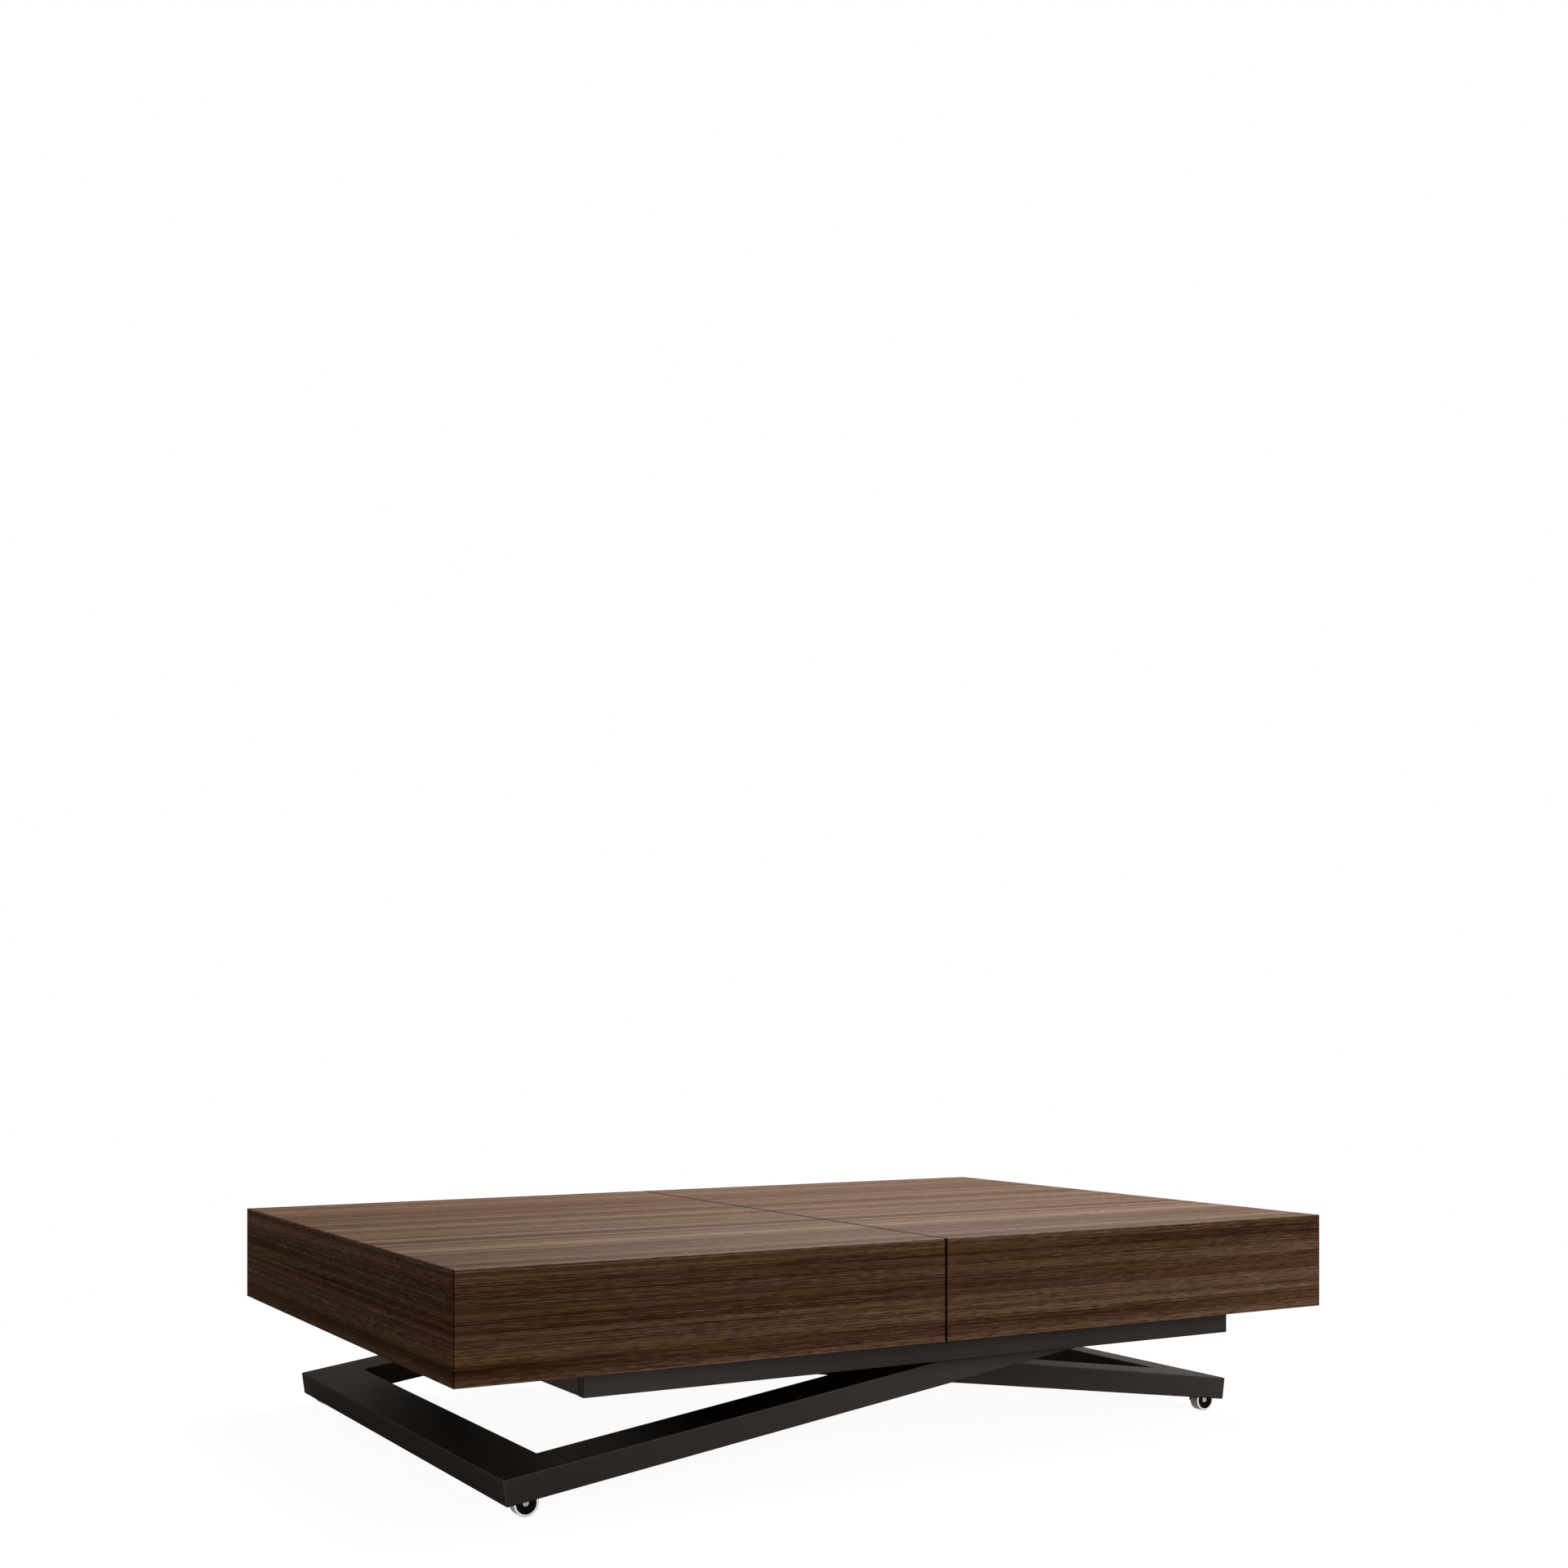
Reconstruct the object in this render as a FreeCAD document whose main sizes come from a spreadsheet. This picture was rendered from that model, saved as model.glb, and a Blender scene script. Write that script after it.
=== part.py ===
import FreeCAD, Part
import os
import Sketcher

# The table stands on z = 0 with the origin under the middle of its box.
# X runs along the box, across the seam between its halves. The near long side faces -Y.
# Legs are drawn in a leaning frame: its origin is the crossing pivot, its X runs along the tube.

NEAR = -1
FAR = 1
LEFT = -1
RIGHT = 1
SIDES = {"near": NEAR, "far": FAR}
ENDS = {"left": LEFT, "right": RIGHT}
LENGTHWISE = FreeCAD.Vector(1, 0, 0)
CROSSWISE = FreeCAD.Vector(0, 1, 0)
UPRIGHT = FreeCAD.Vector(0, 0, 1)
LONG_EDGE_SHARE = 0.5
STRAIGHT_SHARE = 0.999
SAME_PLACE = 0.01


class SizeSheet:
    """The sheet of driving and derived sizes, one named cell to a row."""

    def __init__(self, doc):
        self.sheet = doc.addObject("Spreadsheet::Sheet", "sizes")
        self.row = 0

    def put(self, name, value):
        self.row += 1
        cell = f"B{self.row}"
        self.sheet.set(f"A{self.row}", name)
        self.sheet.set(cell, str(value))
        self.sheet.setAlias(cell, name)


BOX_SIZES = {
    "overall_tall": 280,
    "box_long": 1260,
    "box_wide": 824,
    "board": 20,
    "mitre_land": 1,
    "edge_bevel": 0.6,
    "seam_gap": 2,
    "slide_out": 400,
    "half_long": "=box_long / 2",
    "half_wide": "=box_wide / 2",
    "half_seam": "=seam_gap / 2",
    "panel_low": "=overall_tall - board",
    "apron_inner": "=half_wide - board",
    "end_inner": "=half_long - board",
}


TRAY_SIZES = {
    "felt_thick": 2,
    "leaves_space": 13,
    "glide_thick": 1,
    "glide_inset": 4,
    "tray_floor": 12,
    "tray_wall": 12,
    "tray_end_gap": 20,
    "slide_space": 18,
    "leaf_thick": "=board",
    "tray_high": "=panel_low - glide_thick",
    "tray_base": "=tray_high - leaves_space - 2 * (felt_thick + leaf_thick)",
    "tray_low": "=tray_base - tray_floor",
    "tray_half": "=end_inner - tray_end_gap",
    "tray_side": "=apron_inner - slide_space",
}


LEAF_SIZES = {
    "felt_end_inset": 112,
    "felt_wide": 20,
    "felt_inset": 10,
    "leaf_half_long": "=half_wide",
    "leaf_half_wide": "=slide_out / 2",
    "felt_along": "=leaf_half_long - felt_end_inset",
    "leaf_a_low": "=tray_base + felt_thick",
    "leaf_b_low": "=leaf_a_low + leaf_thick + felt_thick",
}


TUBE_SIZES = {
    "tube_wide": 70,
    "tube_thick": 30,
    "tube_wall": 2,
    "tube_round": 1.5,
    "half_thick": "=tube_thick / 2",
}


FRAME_SIZES = {
    "frame_end_inset": 157,
    "frame_side_inset": 16,
    "rail_tall": 26,
    "rail_thick": 15,
    "rail_round": 1.5,
    "rail_gap": 1,
    "web_thick": 3,
    "hinge_radius": 6,
    "hinge_head": 9,
    "hinge_head_thick": 3,
    "hinge_head_gap": 6,
    "hinge_space": 6,
    "frame_half": "=half_long - frame_end_inset",
    "frame_side": "=half_wide - frame_side_inset",
    "rail_inner": "=frame_side - rail_thick",
    "web_outer": "=rail_inner + web_thick",
    "hinge_tall": "=tray_low - half_thick - hinge_space",
    "rail_high": "=hinge_tall - hinge_head - hinge_head_gap",
    "rail_low": "=rail_high - rail_tall",
    "box_low": "=rail_high + rail_gap",
}


LEG_SIZES = {
    "wheel_radius": 15,
    "axle_below": 3.33,
    "foot_inset": 91.8,
    "axle_to_end": 26,
    "upper_end": 12,
    "rail_end_gap": 1,
    "leg_side_gap": 2,
    "leg_gap": 6,
    "pivot_block": 40,
    "hinge_block": 32,
    "leg_a_outer": "=rail_inner - leg_side_gap",
    "leg_a_inner": "=leg_a_outer - tube_wide",
    "leg_b_outer": "=leg_a_inner - leg_gap",
    "leg_b_inner": "=leg_b_outer - tube_wide",
    "top_reach": "=frame_half - rail_thick - rail_end_gap",
    "upper_arm": "=top_reach - upper_end",
    "lower_arm": "=half_long - foot_inset",
    "floor_reach": "=lower_arm + axle_to_end",
    "axle_drop": "=half_thick + axle_below",
    "leg_run": "=upper_arm + lower_arm",
    "leg_line": "=sqrt(leg_run * leg_run + axle_drop * axle_drop)",
    "leg_tilt": "=asin((hinge_tall - wheel_radius) / leg_line) - atan(axle_drop / leg_run)",
    "lean_sine": "=sin(leg_tilt)",
    "lean_cosine": "=cos(leg_tilt)",
    "axle_along": "=lower_arm * lean_cosine - axle_drop * lean_sine",
    "pivot_tall": "=hinge_tall - upper_arm * lean_sine",
    "hinge_along": "=upper_arm * lean_cosine",
}


WHEEL_SIZES = {
    "wheel_wide": 14,
    "wheel_inset": 8,
    "tyre_thick": 0.8,
    "tyre_bevel": 0.6,
    "rim_ring": 1.9,
    "rim_recess": 3.2,
    "rim_back": 2,
    "axle_radius": 3,
    "running_gap": 0.05,
    "screw_arm": 2.1,
    "screw_head": 2,
    "screw_gap": 0.4,
    "screw_slot": 0.9,
    "screw_slot_deep": 1,
    "slot_gap": 1.5,
    "lug_thick": 8,
    "lug_half": 7,
    "lug_gap": 2,
    "lug_below": 6,
    "lug_corner": 3,
    "stub_beyond_lug": 3,
    "slot_half": "=wheel_radius + slot_gap",
    "rim_radius": "=wheel_radius - tyre_thick",
    "rim_inner": "=rim_radius - rim_ring",
    "axle_hole": "=axle_radius + running_gap",
    "web_face": "=wheel_wide - rim_recess",
}


PIVOT_SIZES = {
    "face_gap": 0.3,
    "pivot_radius": 7,
    "pivot_head": 11,
    "pivot_head_thick": 4,
    "pivot_collar": 12,
    "pivot_end_wall": 7,
    "shaft_radius": 5,
    "roller_radius": 11,
    "roller_wide": 11,
    "roller_end_gap": 1.5,
    "roller_travel": 190,
    "track_wall": 2,
    "track_web": 3,
    "track_deep": 17,
    "track_gap": 0.3,
    "track_end_inset": 5,
    "track_end_space": 15,
    "bracket_thick": 4,
    "bracket_wide": 30,
    "bracket_gap": 3,
    "bracket_flange": 24,
    "bracket_below": 14,
    "pivot_hole": "=pivot_radius + running_gap",
    "hinge_hole": "=hinge_radius + running_gap",
    "shaft_hole": "=shaft_radius + running_gap",
    "track_far_end": "=frame_half - track_end_inset",
    "track_near_end": "=hinge_along - roller_travel - roller_radius - track_end_space",
    "bracket_outer": "=leg_a_inner - bracket_gap",
    "bracket_inner": "=bracket_outer - bracket_thick",
    "shaft_end": "=rail_inner - track_web - face_gap",
    "roller_outer": "=rail_inner - track_web - roller_end_gap",
}


LIFT_SIZES = {
    "gas_side_inset": 113,
    "gas_radius": 11,
    "gas_wall": 2,
    "gas_long": 325,
    "gas_lead": 45,
    "gas_cap": 12,
    "gas_rod": 4,
    "gas_rod_long": 271,
    "piston_long": 14,
    "eye_radius": 9,
    "eye_thick": 10,
    "eye_overlap": 6,
    "clamp_long": 20,
    "clamp_wide": 34,
    "clamp_inset": 25,
    "clamp_below": 4,
    "cross_tube_gap": 4,
    "cross_tube_end_gap": 25,
    "lever_gap": 27,
    "lever_reach": 85,
    "lever_wide": 22,
    "lever_paddle": 34,
    "lever_paddle_long": 30,
    "lever_thick": 5,
    "lever_drop": 12,
    "lever_pin": 4,
    "lever_head": 7,
    "lever_head_thick": 3,
    "gas_side": "=leg_b_inner - gas_side_inset",
    "gas_bore": "=gas_radius - gas_wall",
    "gas_tip": "=hinge_along - gas_rod_long",
    "gas_left": "=gas_tip + gas_lead",
    "gas_right": "=gas_long - gas_left",
    "clear_of_clamps": "=gas_radius + clamp_below + half_thick / lean_cosine + cross_tube_gap",
    "leg_a_cross_top": "=upper_arm - bracket_wide / 2 - cross_tube_end_gap",
    "leg_b_cross_top": "=upper_arm - clear_of_clamps / lean_sine",
    "lever_along": "=frame_half + lever_gap",
}


SLIDE_SIZES = {
    "slide_start": 30,
    "slide_sheet": 1.5,
    "outer_half": 22,
    "slide_lip": 4,
    "middle_step": 3,
    "inner_step": 6.5,
    "dowel_radius": 4,
    "dowel_in": 20,
    "dowel_out": 13,
    "dowel_socket": 16,
    "dowel_side_gap": 62,
    "dowel_step": 176,
    "middle_half": "=outer_half - slide_sheet",
    "inner_half": "=middle_half - slide_sheet",
    "slide_centre": "=(tray_base + panel_low) / 2",
    "slide_end": "=tray_half",
    "slide_edge": "=apron_inner - slide_lip",
    "dowel_outer": "=apron_inner - dowel_side_gap",
    "dowel_inner": "=dowel_outer - dowel_step",
    "dowel_tall": "=panel_low + board / 2",
}


def fill_sizes(doc):
    sheet = SizeSheet(doc)
    groups = (BOX_SIZES, TRAY_SIZES, LEAF_SIZES, TUBE_SIZES, FRAME_SIZES,
              LEG_SIZES, WHEEL_SIZES, PIVOT_SIZES, LIFT_SIZES, SLIDE_SIZES)
    for group in groups:
        for name, value in group.items():
            sheet.put(name, value)
    doc.recompute()


def new_body(doc, name):
    body = doc.addObject("PartDesign::Body", name)
    body.Label = name
    body.AllowCompound = True
    return body


def place(body, x="0", y="0", z="0"):
    """Bind the body's own position to sheet expressions."""
    body.setExpression("Placement.Base.x", x)
    body.setExpression("Placement.Base.y", y)
    body.setExpression("Placement.Base.z", z)


def lean(body, floor):
    """Tip a leg's piece so that its floor end, on the side `floor`, goes down."""
    body.Placement = FreeCAD.Placement(FreeCAD.Vector(), FreeCAD.Rotation(CROSSWISE * floor, 1))
    body.setExpression("Placement.Rotation.Angle", "sizes.leg_tilt")
    body.setExpression("Placement.Base.z", "sizes.pivot_tall")


def number(holder, expression):
    value = holder.evalExpression(expression)
    return float(getattr(value, "Value", value))


def bind(sketch, kind, first, second, value, expression):
    index = sketch.addConstraint(Sketcher.Constraint(kind, *first, *second, value))
    sketch.setExpression(f"Constraints[{index}]", expression)


def pin_down(sketch, item, point, x, y):
    """Hold one point of the sketch at sheet expressions x and y from the sketch's origin."""
    origin = (-1, 1)
    bind(sketch, "DistanceX", origin, (item, point), number(sketch, x), x)
    bind(sketch, "DistanceY", origin, (item, point), number(sketch, y), y)


def polygon(sketch, points):
    """Draw a closed outline through points given as pairs of sheet expressions."""
    places = [FreeCAD.Vector(number(sketch, x), number(sketch, y), 0) for x, y in points]
    lines = []
    for index, start in enumerate(places):
        end = places[(index + 1) % len(places)]
        lines.append(sketch.addGeometry(Part.LineSegment(start, end), False))
    for index, line in enumerate(lines):
        following = lines[(index + 1) % len(lines)]
        sketch.addConstraint(Sketcher.Constraint("Coincident", line, 2, following, 1))
    for line, (x, y) in zip(lines, points):
        pin_down(sketch, line, 1, x, y)


def rectangle(sketch, left, right, low, high):
    polygon(sketch, [(left, low), (right, low), (right, high), (left, high)])


def circle(sketch, x, y, radius):
    centre = FreeCAD.Vector(number(sketch, x), number(sketch, y), 0)
    size = number(sketch, radius)
    ring = sketch.addGeometry(Part.Circle(centre, UPRIGHT, size), False)
    pin_down(sketch, ring, 3, x, y)
    index = sketch.addConstraint(Sketcher.Constraint("Radius", ring, size))
    sketch.setExpression(f"Constraints[{index}]", radius)


def new_sketch(body, name, role, offset="0"):
    """A sketch on one of the body's own origin planes, moved along the plane's normal."""
    sketch = body.newObject("Sketcher::SketchObject", name)
    planes = [plane for plane in body.Origin.OriginFeatures if plane.Role == role]
    sketch.AttachmentSupport = [(planes[0], "")]
    sketch.MapMode = "FlatFace"
    sketch.setExpression("AttachmentOffset.Base.z", offset)
    return sketch


def extrude(body, sketch, name, length, backwards, cut):
    kind = "PartDesign::Pocket" if cut else "PartDesign::Pad"
    feature = body.newObject(kind, name)
    feature.Profile = sketch
    feature.setExpression("Length", length)
    feature.Reversed = backwards != cut
    sketch.Visibility = False
    body.Tip = feature
    return feature


def along(body, name, start, end, draw, cut=False):
    """Add or cut an outline drawn in Y and Z, between two places along X."""
    sketch = new_sketch(body, name + "_outline", "YZ_Plane", start)
    draw(sketch)
    return extrude(body, sketch, name, f"({end}) - ({start})", False, cut)


def upward(body, name, low, high, draw, cut=False):
    """Add or cut an outline drawn in X and Y, between two heights."""
    sketch = new_sketch(body, name + "_outline", "XY_Plane", low)
    draw(sketch)
    return extrude(body, sketch, name, f"({high}) - ({low})", False, cut)


def across(body, name, side, start, end, draw, cut=False):
    """Add or cut an outline drawn in X and Z, between two distances from the XZ plane."""
    toward = -side
    sketch = new_sketch(body, name + "_outline", "XZ_Plane", f"{toward} * ({start})")
    draw(sketch)
    return extrude(body, sketch, name, f"({end}) - ({start})", side == FAR, cut)


def both_sides(body, name, start, end, draw, cut=False):
    across(body, name + "_near", NEAR, start, end, draw, cut)
    across(body, name + "_far", FAR, start, end, draw, cut)


def through(body, name, half, draw):
    """Add an outline drawn in X and Z, from one side of the XZ plane to the other."""
    across(body, name, NEAR, f"-({half})", half, draw)


def stretch(floor, top, bottom):
    """Two places along a leg in rising X, both measured from its pivot towards its floor end."""
    if floor == RIGHT:
        return top, bottom
    return f"-({bottom})", f"-({top})"


def edges_along(shape, direction):
    """Names of the straight edges that run most of the shape's way along a direction."""
    box = shape.BoundBox
    extent = abs(FreeCAD.Vector(box.XLength, box.YLength, box.ZLength).dot(direction))
    names = []
    for index, edge in enumerate(shape.Edges):
        if edge.Length < extent * LONG_EDGE_SHARE:
            continue
        run = edge.Vertexes[-1].Point.sub(edge.Vertexes[0].Point)
        if run.Length > 0 and abs(run.normalize().dot(direction)) > STRAIGHT_SHARE:
            names.append(f"Edge{index + 1}")
    return names


def edges_facing(shape, direction, outward):
    """Of those edges, the ones that lie farthest out on one side of the shape."""
    farthest = max(vertex.Point.dot(outward) for vertex in shape.Vertexes)
    return [name for name in edges_along(shape, direction)
            if farthest - shape.getElement(name).CenterOfMass.dot(outward) < SAME_PLACE]


def shared(first, second):
    return [name for name in first if name in second]


def current_shape(body):
    body.Document.recompute()
    return body.Tip.Shape


def round_edges(body, names, radius, tag="_round"):
    base = body.Tip
    fillet = body.newObject("PartDesign::Fillet", body.Name + tag)
    fillet.Base = (base, names)
    fillet.setExpression("Radius", radius)
    body.Tip = fillet


def bevel_edges(body, names, size, tag):
    base = body.Tip
    chamfer = body.newObject("PartDesign::Chamfer", body.Name + tag)
    chamfer.Base = (base, names)
    chamfer.setExpression("Size", size)
    body.Tip = chamfer


def tube_rectangle(sketch, inner, outer, inset="0"):
    """One outline of a leg tube, drawn between two distances from the table's middle plane."""
    half = f"sizes.half_thick - {inset}"
    rectangle(sketch, f"{inner} + {inset}", f"{outer} - {inset}", f"-({half})", half)


def weld(body, name, floor, side, inner, bottom):
    """Fill the rounded inner edges of a side tube where a cross tube meets it flush."""
    size = "sizes.tube_round"
    start, end = stretch(floor, f"{bottom} - sizes.tube_wide + {size}", bottom)

    def bars(sketch):
        high = "sizes.half_thick"
        signed_rectangle(sketch, side, inner, f"{inner} + {size}", f"{high} - {size}", high)
        signed_rectangle(sketch, side, inner, f"{inner} + {size}", f"-{high}", f"-{high} + {size}")

    along(body, name, start, end, bars)


def round_side_tube(body, floor, side, inner, top_tube):
    """Round a side tube's long edges and its floor end, flush with both cross tubes."""
    outward = CROSSWISE * side
    floorward = LENGTHWISE * floor
    long_edges = edges_facing(current_shape(body), LENGTHWISE, -outward)
    round_edges(body, long_edges, "sizes.tube_round", "_inner_round")
    weld(body, body.Name + "_floor_weld", floor, side, inner, "sizes.floor_reach")
    weld(body, body.Name + "_top_weld", floor, side, inner, top_tube)
    shape = current_shape(body)
    names = edges_facing(shape, LENGTHWISE, outward)
    names += edges_facing(shape, CROSSWISE, floorward)
    names += shared(edges_facing(shape, UPRIGHT, floorward), edges_facing(shape, UPRIGHT, outward))
    round_edges(body, names, "sizes.tube_round", "_outer_round")


def leg_beam(doc, leg, side_name, floor, inner, outer):
    """A side tube of one leg, with solid blocks at its pivots and a slot for its wheel."""
    name = f"leg_{leg}_{side_name}_beam"
    side = SIDES[side_name]
    body = new_body(doc, name)
    lean(body, floor)
    ends = (f"{inner}", f"{outer}") if side == FAR else (f"-{outer}", f"-{inner}")

    def hollow_section(sketch):
        tube_rectangle(sketch, *ends)
        tube_rectangle(sketch, *ends, inset="sizes.tube_wall")

    def full_section(sketch):
        tube_rectangle(sketch, *ends)

    def core_section(sketch):
        tube_rectangle(sketch, *ends, inset="sizes.tube_wall")

    start, end = stretch(floor, "-sizes.top_reach", "sizes.floor_reach")
    along(body, name + "_tube", start, end, hollow_section)
    start, end = stretch(floor, "sizes.floor_reach - sizes.tube_wall", "sizes.floor_reach")
    along(body, name + "_cap", start, end, full_section)
    along(body, name + "_pivot_block", "-sizes.pivot_block / 2", "sizes.pivot_block / 2", core_section)
    start, end = stretch(floor, "-sizes.top_reach", "-sizes.top_reach + sizes.hinge_block")
    along(body, name + "_hinge_block", start, end, core_section)
    round_side_tube(body, floor, side, inner, f"sizes.tube_wide - sizes.leg_{leg}_cross_top")
    wheel_slot(body, name, side, floor, outer)
    return body


def wheel_slot(body, name, side, floor, outer):
    """Open the tube's lower wall over the wheel, which is sunk into the tube."""
    edge = f"{side} * ({outer} - sizes.tube_wall)"
    back = f"{side} * ({outer} - sizes.wheel_inset - sizes.wheel_wide - sizes.slot_gap)"
    centre = f"{floor} * sizes.lower_arm"

    def slot(sketch):
        low, high = (edge, back) if side == NEAR else (back, edge)
        rectangle(sketch, f"{centre} - sizes.slot_half", f"{centre} + sizes.slot_half", low, high)

    low = "-sizes.half_thick - sizes.slot_gap"
    upward(body, name + "_slot", low, "-sizes.half_thick + sizes.tube_wall", slot, cut=True)


def leg_a_beam(doc, side_name):
    body = leg_beam(doc, "a", side_name, LEFT, "sizes.leg_a_inner", "sizes.leg_a_outer")
    side = SIDES[side_name]
    blind = "sizes.leg_a_outer - sizes.pivot_end_wall"
    across(body, body.Name + "_pivot_hole", side, "sizes.leg_a_inner", blind,
           lambda sketch: circle(sketch, "0", "0", "sizes.pivot_radius"), cut=True)
    across(body, body.Name + "_hinge_hole", side, "sizes.leg_a_inner", "sizes.leg_a_outer",
           lambda sketch: circle(sketch, "sizes.upper_arm", "0", "sizes.hinge_hole"), cut=True)


def leg_b_beam(doc, side_name):
    body = leg_beam(doc, "b", side_name, RIGHT, "sizes.leg_b_inner", "sizes.leg_b_outer")
    side = SIDES[side_name]
    across(body, body.Name + "_pivot_hole", side, "sizes.leg_b_inner", "sizes.leg_b_outer",
           lambda sketch: circle(sketch, "0", "0", "sizes.pivot_hole"), cut=True)
    across(body, body.Name + "_shaft_hole", side, "sizes.leg_b_inner", "sizes.leg_b_outer",
           lambda sketch: circle(sketch, "-sizes.upper_arm", "0", "sizes.shaft_radius"), cut=True)


def cross_tube(doc, name, floor, bottom, half):
    """A tube laid flat between a leg's beams, its lower edge `bottom` from the pivot."""
    body = new_body(doc, name)
    lean(body, floor)

    def section(sketch, inset):
        start, end = stretch(floor, f"{bottom} - sizes.tube_wide + {inset}", f"{bottom} - {inset}")
        height = f"sizes.half_thick - {inset}"
        rectangle(sketch, start, end, f"-({height})", height)

    def hollow_section(sketch):
        section(sketch, "0")
        section(sketch, "sizes.tube_wall")

    through(body, name + "_tube", half, hollow_section)
    shape = current_shape(body)
    names = edges_facing(shape, CROSSWISE, UPRIGHT) + edges_facing(shape, CROSSWISE, -UPRIGHT)
    round_edges(body, names, "sizes.tube_round")


def axle_lugs(doc, name, floor, outer, hole):
    """Two plates under a leg's floor end that carry its axle."""
    body = new_body(doc, name)
    lean(body, floor)
    centre = f"{floor} * sizes.lower_arm"
    left = f"{centre} - sizes.lug_half"
    right = f"{centre} + sizes.lug_half"
    foot = "-sizes.axle_drop - sizes.lug_below"
    corner = "sizes.lug_corner"

    def plate(sketch):
        polygon(sketch, [
            (left, "-sizes.half_thick"),
            (left, f"{foot} + {corner}"),
            (f"{left} + {corner}", foot),
            (f"{right} - {corner}", foot),
            (right, f"{foot} + {corner}"),
            (right, "-sizes.half_thick"),
        ])

    end = lug_outer(outer)
    start = f"{end} - sizes.lug_thick"
    both_sides(body, name + "_plate", start, end, plate)
    both_sides(body, name + "_hole", start, end,
               lambda sketch: circle(sketch, centre, "-sizes.axle_drop", hole), cut=True)


def crossing_pins(doc):
    """The two headed pins about which the legs cross, fixed in leg A."""
    body = new_body(doc, "crossing_pins")
    lean(body, LEFT)
    head_outer = "sizes.leg_b_inner - sizes.face_gap"
    head_inner = f"{head_outer} - sizes.pivot_head_thick"
    end = "sizes.leg_a_outer - sizes.pivot_end_wall"
    both_sides(body, "crossing_head", head_inner, head_outer,
               lambda sketch: circle(sketch, "0", "0", "sizes.pivot_head"))
    both_sides(body, "crossing_shank", head_outer, end,
               lambda sketch: circle(sketch, "0", "0", "sizes.pivot_radius"))
    both_sides(body, "crossing_collar", "sizes.leg_b_outer + sizes.face_gap", "sizes.leg_a_inner",
               lambda sketch: circle(sketch, "0", "0", "sizes.pivot_collar"))


def lug_outer(outer):
    return f"{outer} - sizes.wheel_inset - sizes.wheel_wide - sizes.lug_gap"


def axle_end(outer):
    return f"{outer} - sizes.wheel_inset - sizes.rim_recess"


def axle_screws(body, outer, x, z):
    """Cross-headed screws in the outer ends of an axle."""
    start = axle_end(outer)
    end = f"{start} + sizes.screw_head"
    bottom = f"{end} - sizes.screw_slot_deep"
    arm = "sizes.screw_arm"
    slot = "sizes.screw_slot / 2"
    both_sides(body, body.Name + "_head", start, end,
               lambda sketch: circle(sketch, x, z, "sizes.axle_radius + sizes.screw_gap"))

    def cross_outline(sketch):
        polygon(sketch, [
            (f"{x} - {arm}", f"{z} - {slot}"),
            (f"{x} - {slot}", f"{z} - {slot}"),
            (f"{x} - {slot}", f"{z} - {arm}"),
            (f"{x} + {slot}", f"{z} - {arm}"),
            (f"{x} + {slot}", f"{z} - {slot}"),
            (f"{x} + {arm}", f"{z} - {slot}"),
            (f"{x} + {arm}", f"{z} + {slot}"),
            (f"{x} + {slot}", f"{z} + {slot}"),
            (f"{x} + {slot}", f"{z} + {arm}"),
            (f"{x} - {slot}", f"{z} + {arm}"),
            (f"{x} - {slot}", f"{z} + {slot}"),
            (f"{x} - {arm}", f"{z} + {slot}"),
        ])

    both_sides(body, body.Name + "_cross", bottom, end, cross_outline, cut=True)


def left_axle(doc):
    """One rod right across, on which leg A swings when the table rises."""
    rod = new_body(doc, "left_axle_rod")
    place(rod, "-sizes.axle_along", "0", "sizes.wheel_radius")
    through(rod, rod.Name + "_rod", axle_end("sizes.leg_a_outer"),
            lambda sketch: circle(sketch, "0", "0", "sizes.axle_radius"))
    screws = new_body(doc, "left_axle_screws")
    place(screws, "-sizes.axle_along", "0", "sizes.wheel_radius")
    axle_screws(screws, "sizes.leg_a_outer", "0", "0")


def right_axle(doc):
    """Two stubs fixed in leg B's lugs, one for each wheel."""
    outer = "sizes.leg_b_outer"
    rod = new_body(doc, "right_axle_rod")
    lean(rod, RIGHT)
    inner = f"{lug_outer(outer)} - sizes.lug_thick - sizes.stub_beyond_lug"
    both_sides(rod, rod.Name + "_stub", inner, axle_end(outer),
               lambda sketch: circle(sketch, "sizes.lower_arm", "-sizes.axle_drop", "sizes.axle_radius"))
    screws = new_body(doc, "right_axle_screws")
    lean(screws, RIGHT)
    axle_screws(screws, "sizes.leg_b_outer", "sizes.lower_arm", "-sizes.axle_drop")


def roller_shaft(doc):
    body = new_body(doc, "roller_shaft")
    lean(body, RIGHT)
    through(body, "roller_shaft_rod", "sizes.shaft_end",
            lambda sketch: circle(sketch, "-sizes.upper_arm", "0", "sizes.shaft_radius"))


def revolve(body, sketch, name):
    """Turn an outline, drawn in Y and Z, about its own Y axis."""
    feature = body.newObject("PartDesign::Revolution", name)
    feature.Profile = sketch
    feature.ReferenceAxis = (sketch, ["H_Axis"])
    feature.Angle = 360
    sketch.Visibility = False
    body.Tip = feature


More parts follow.
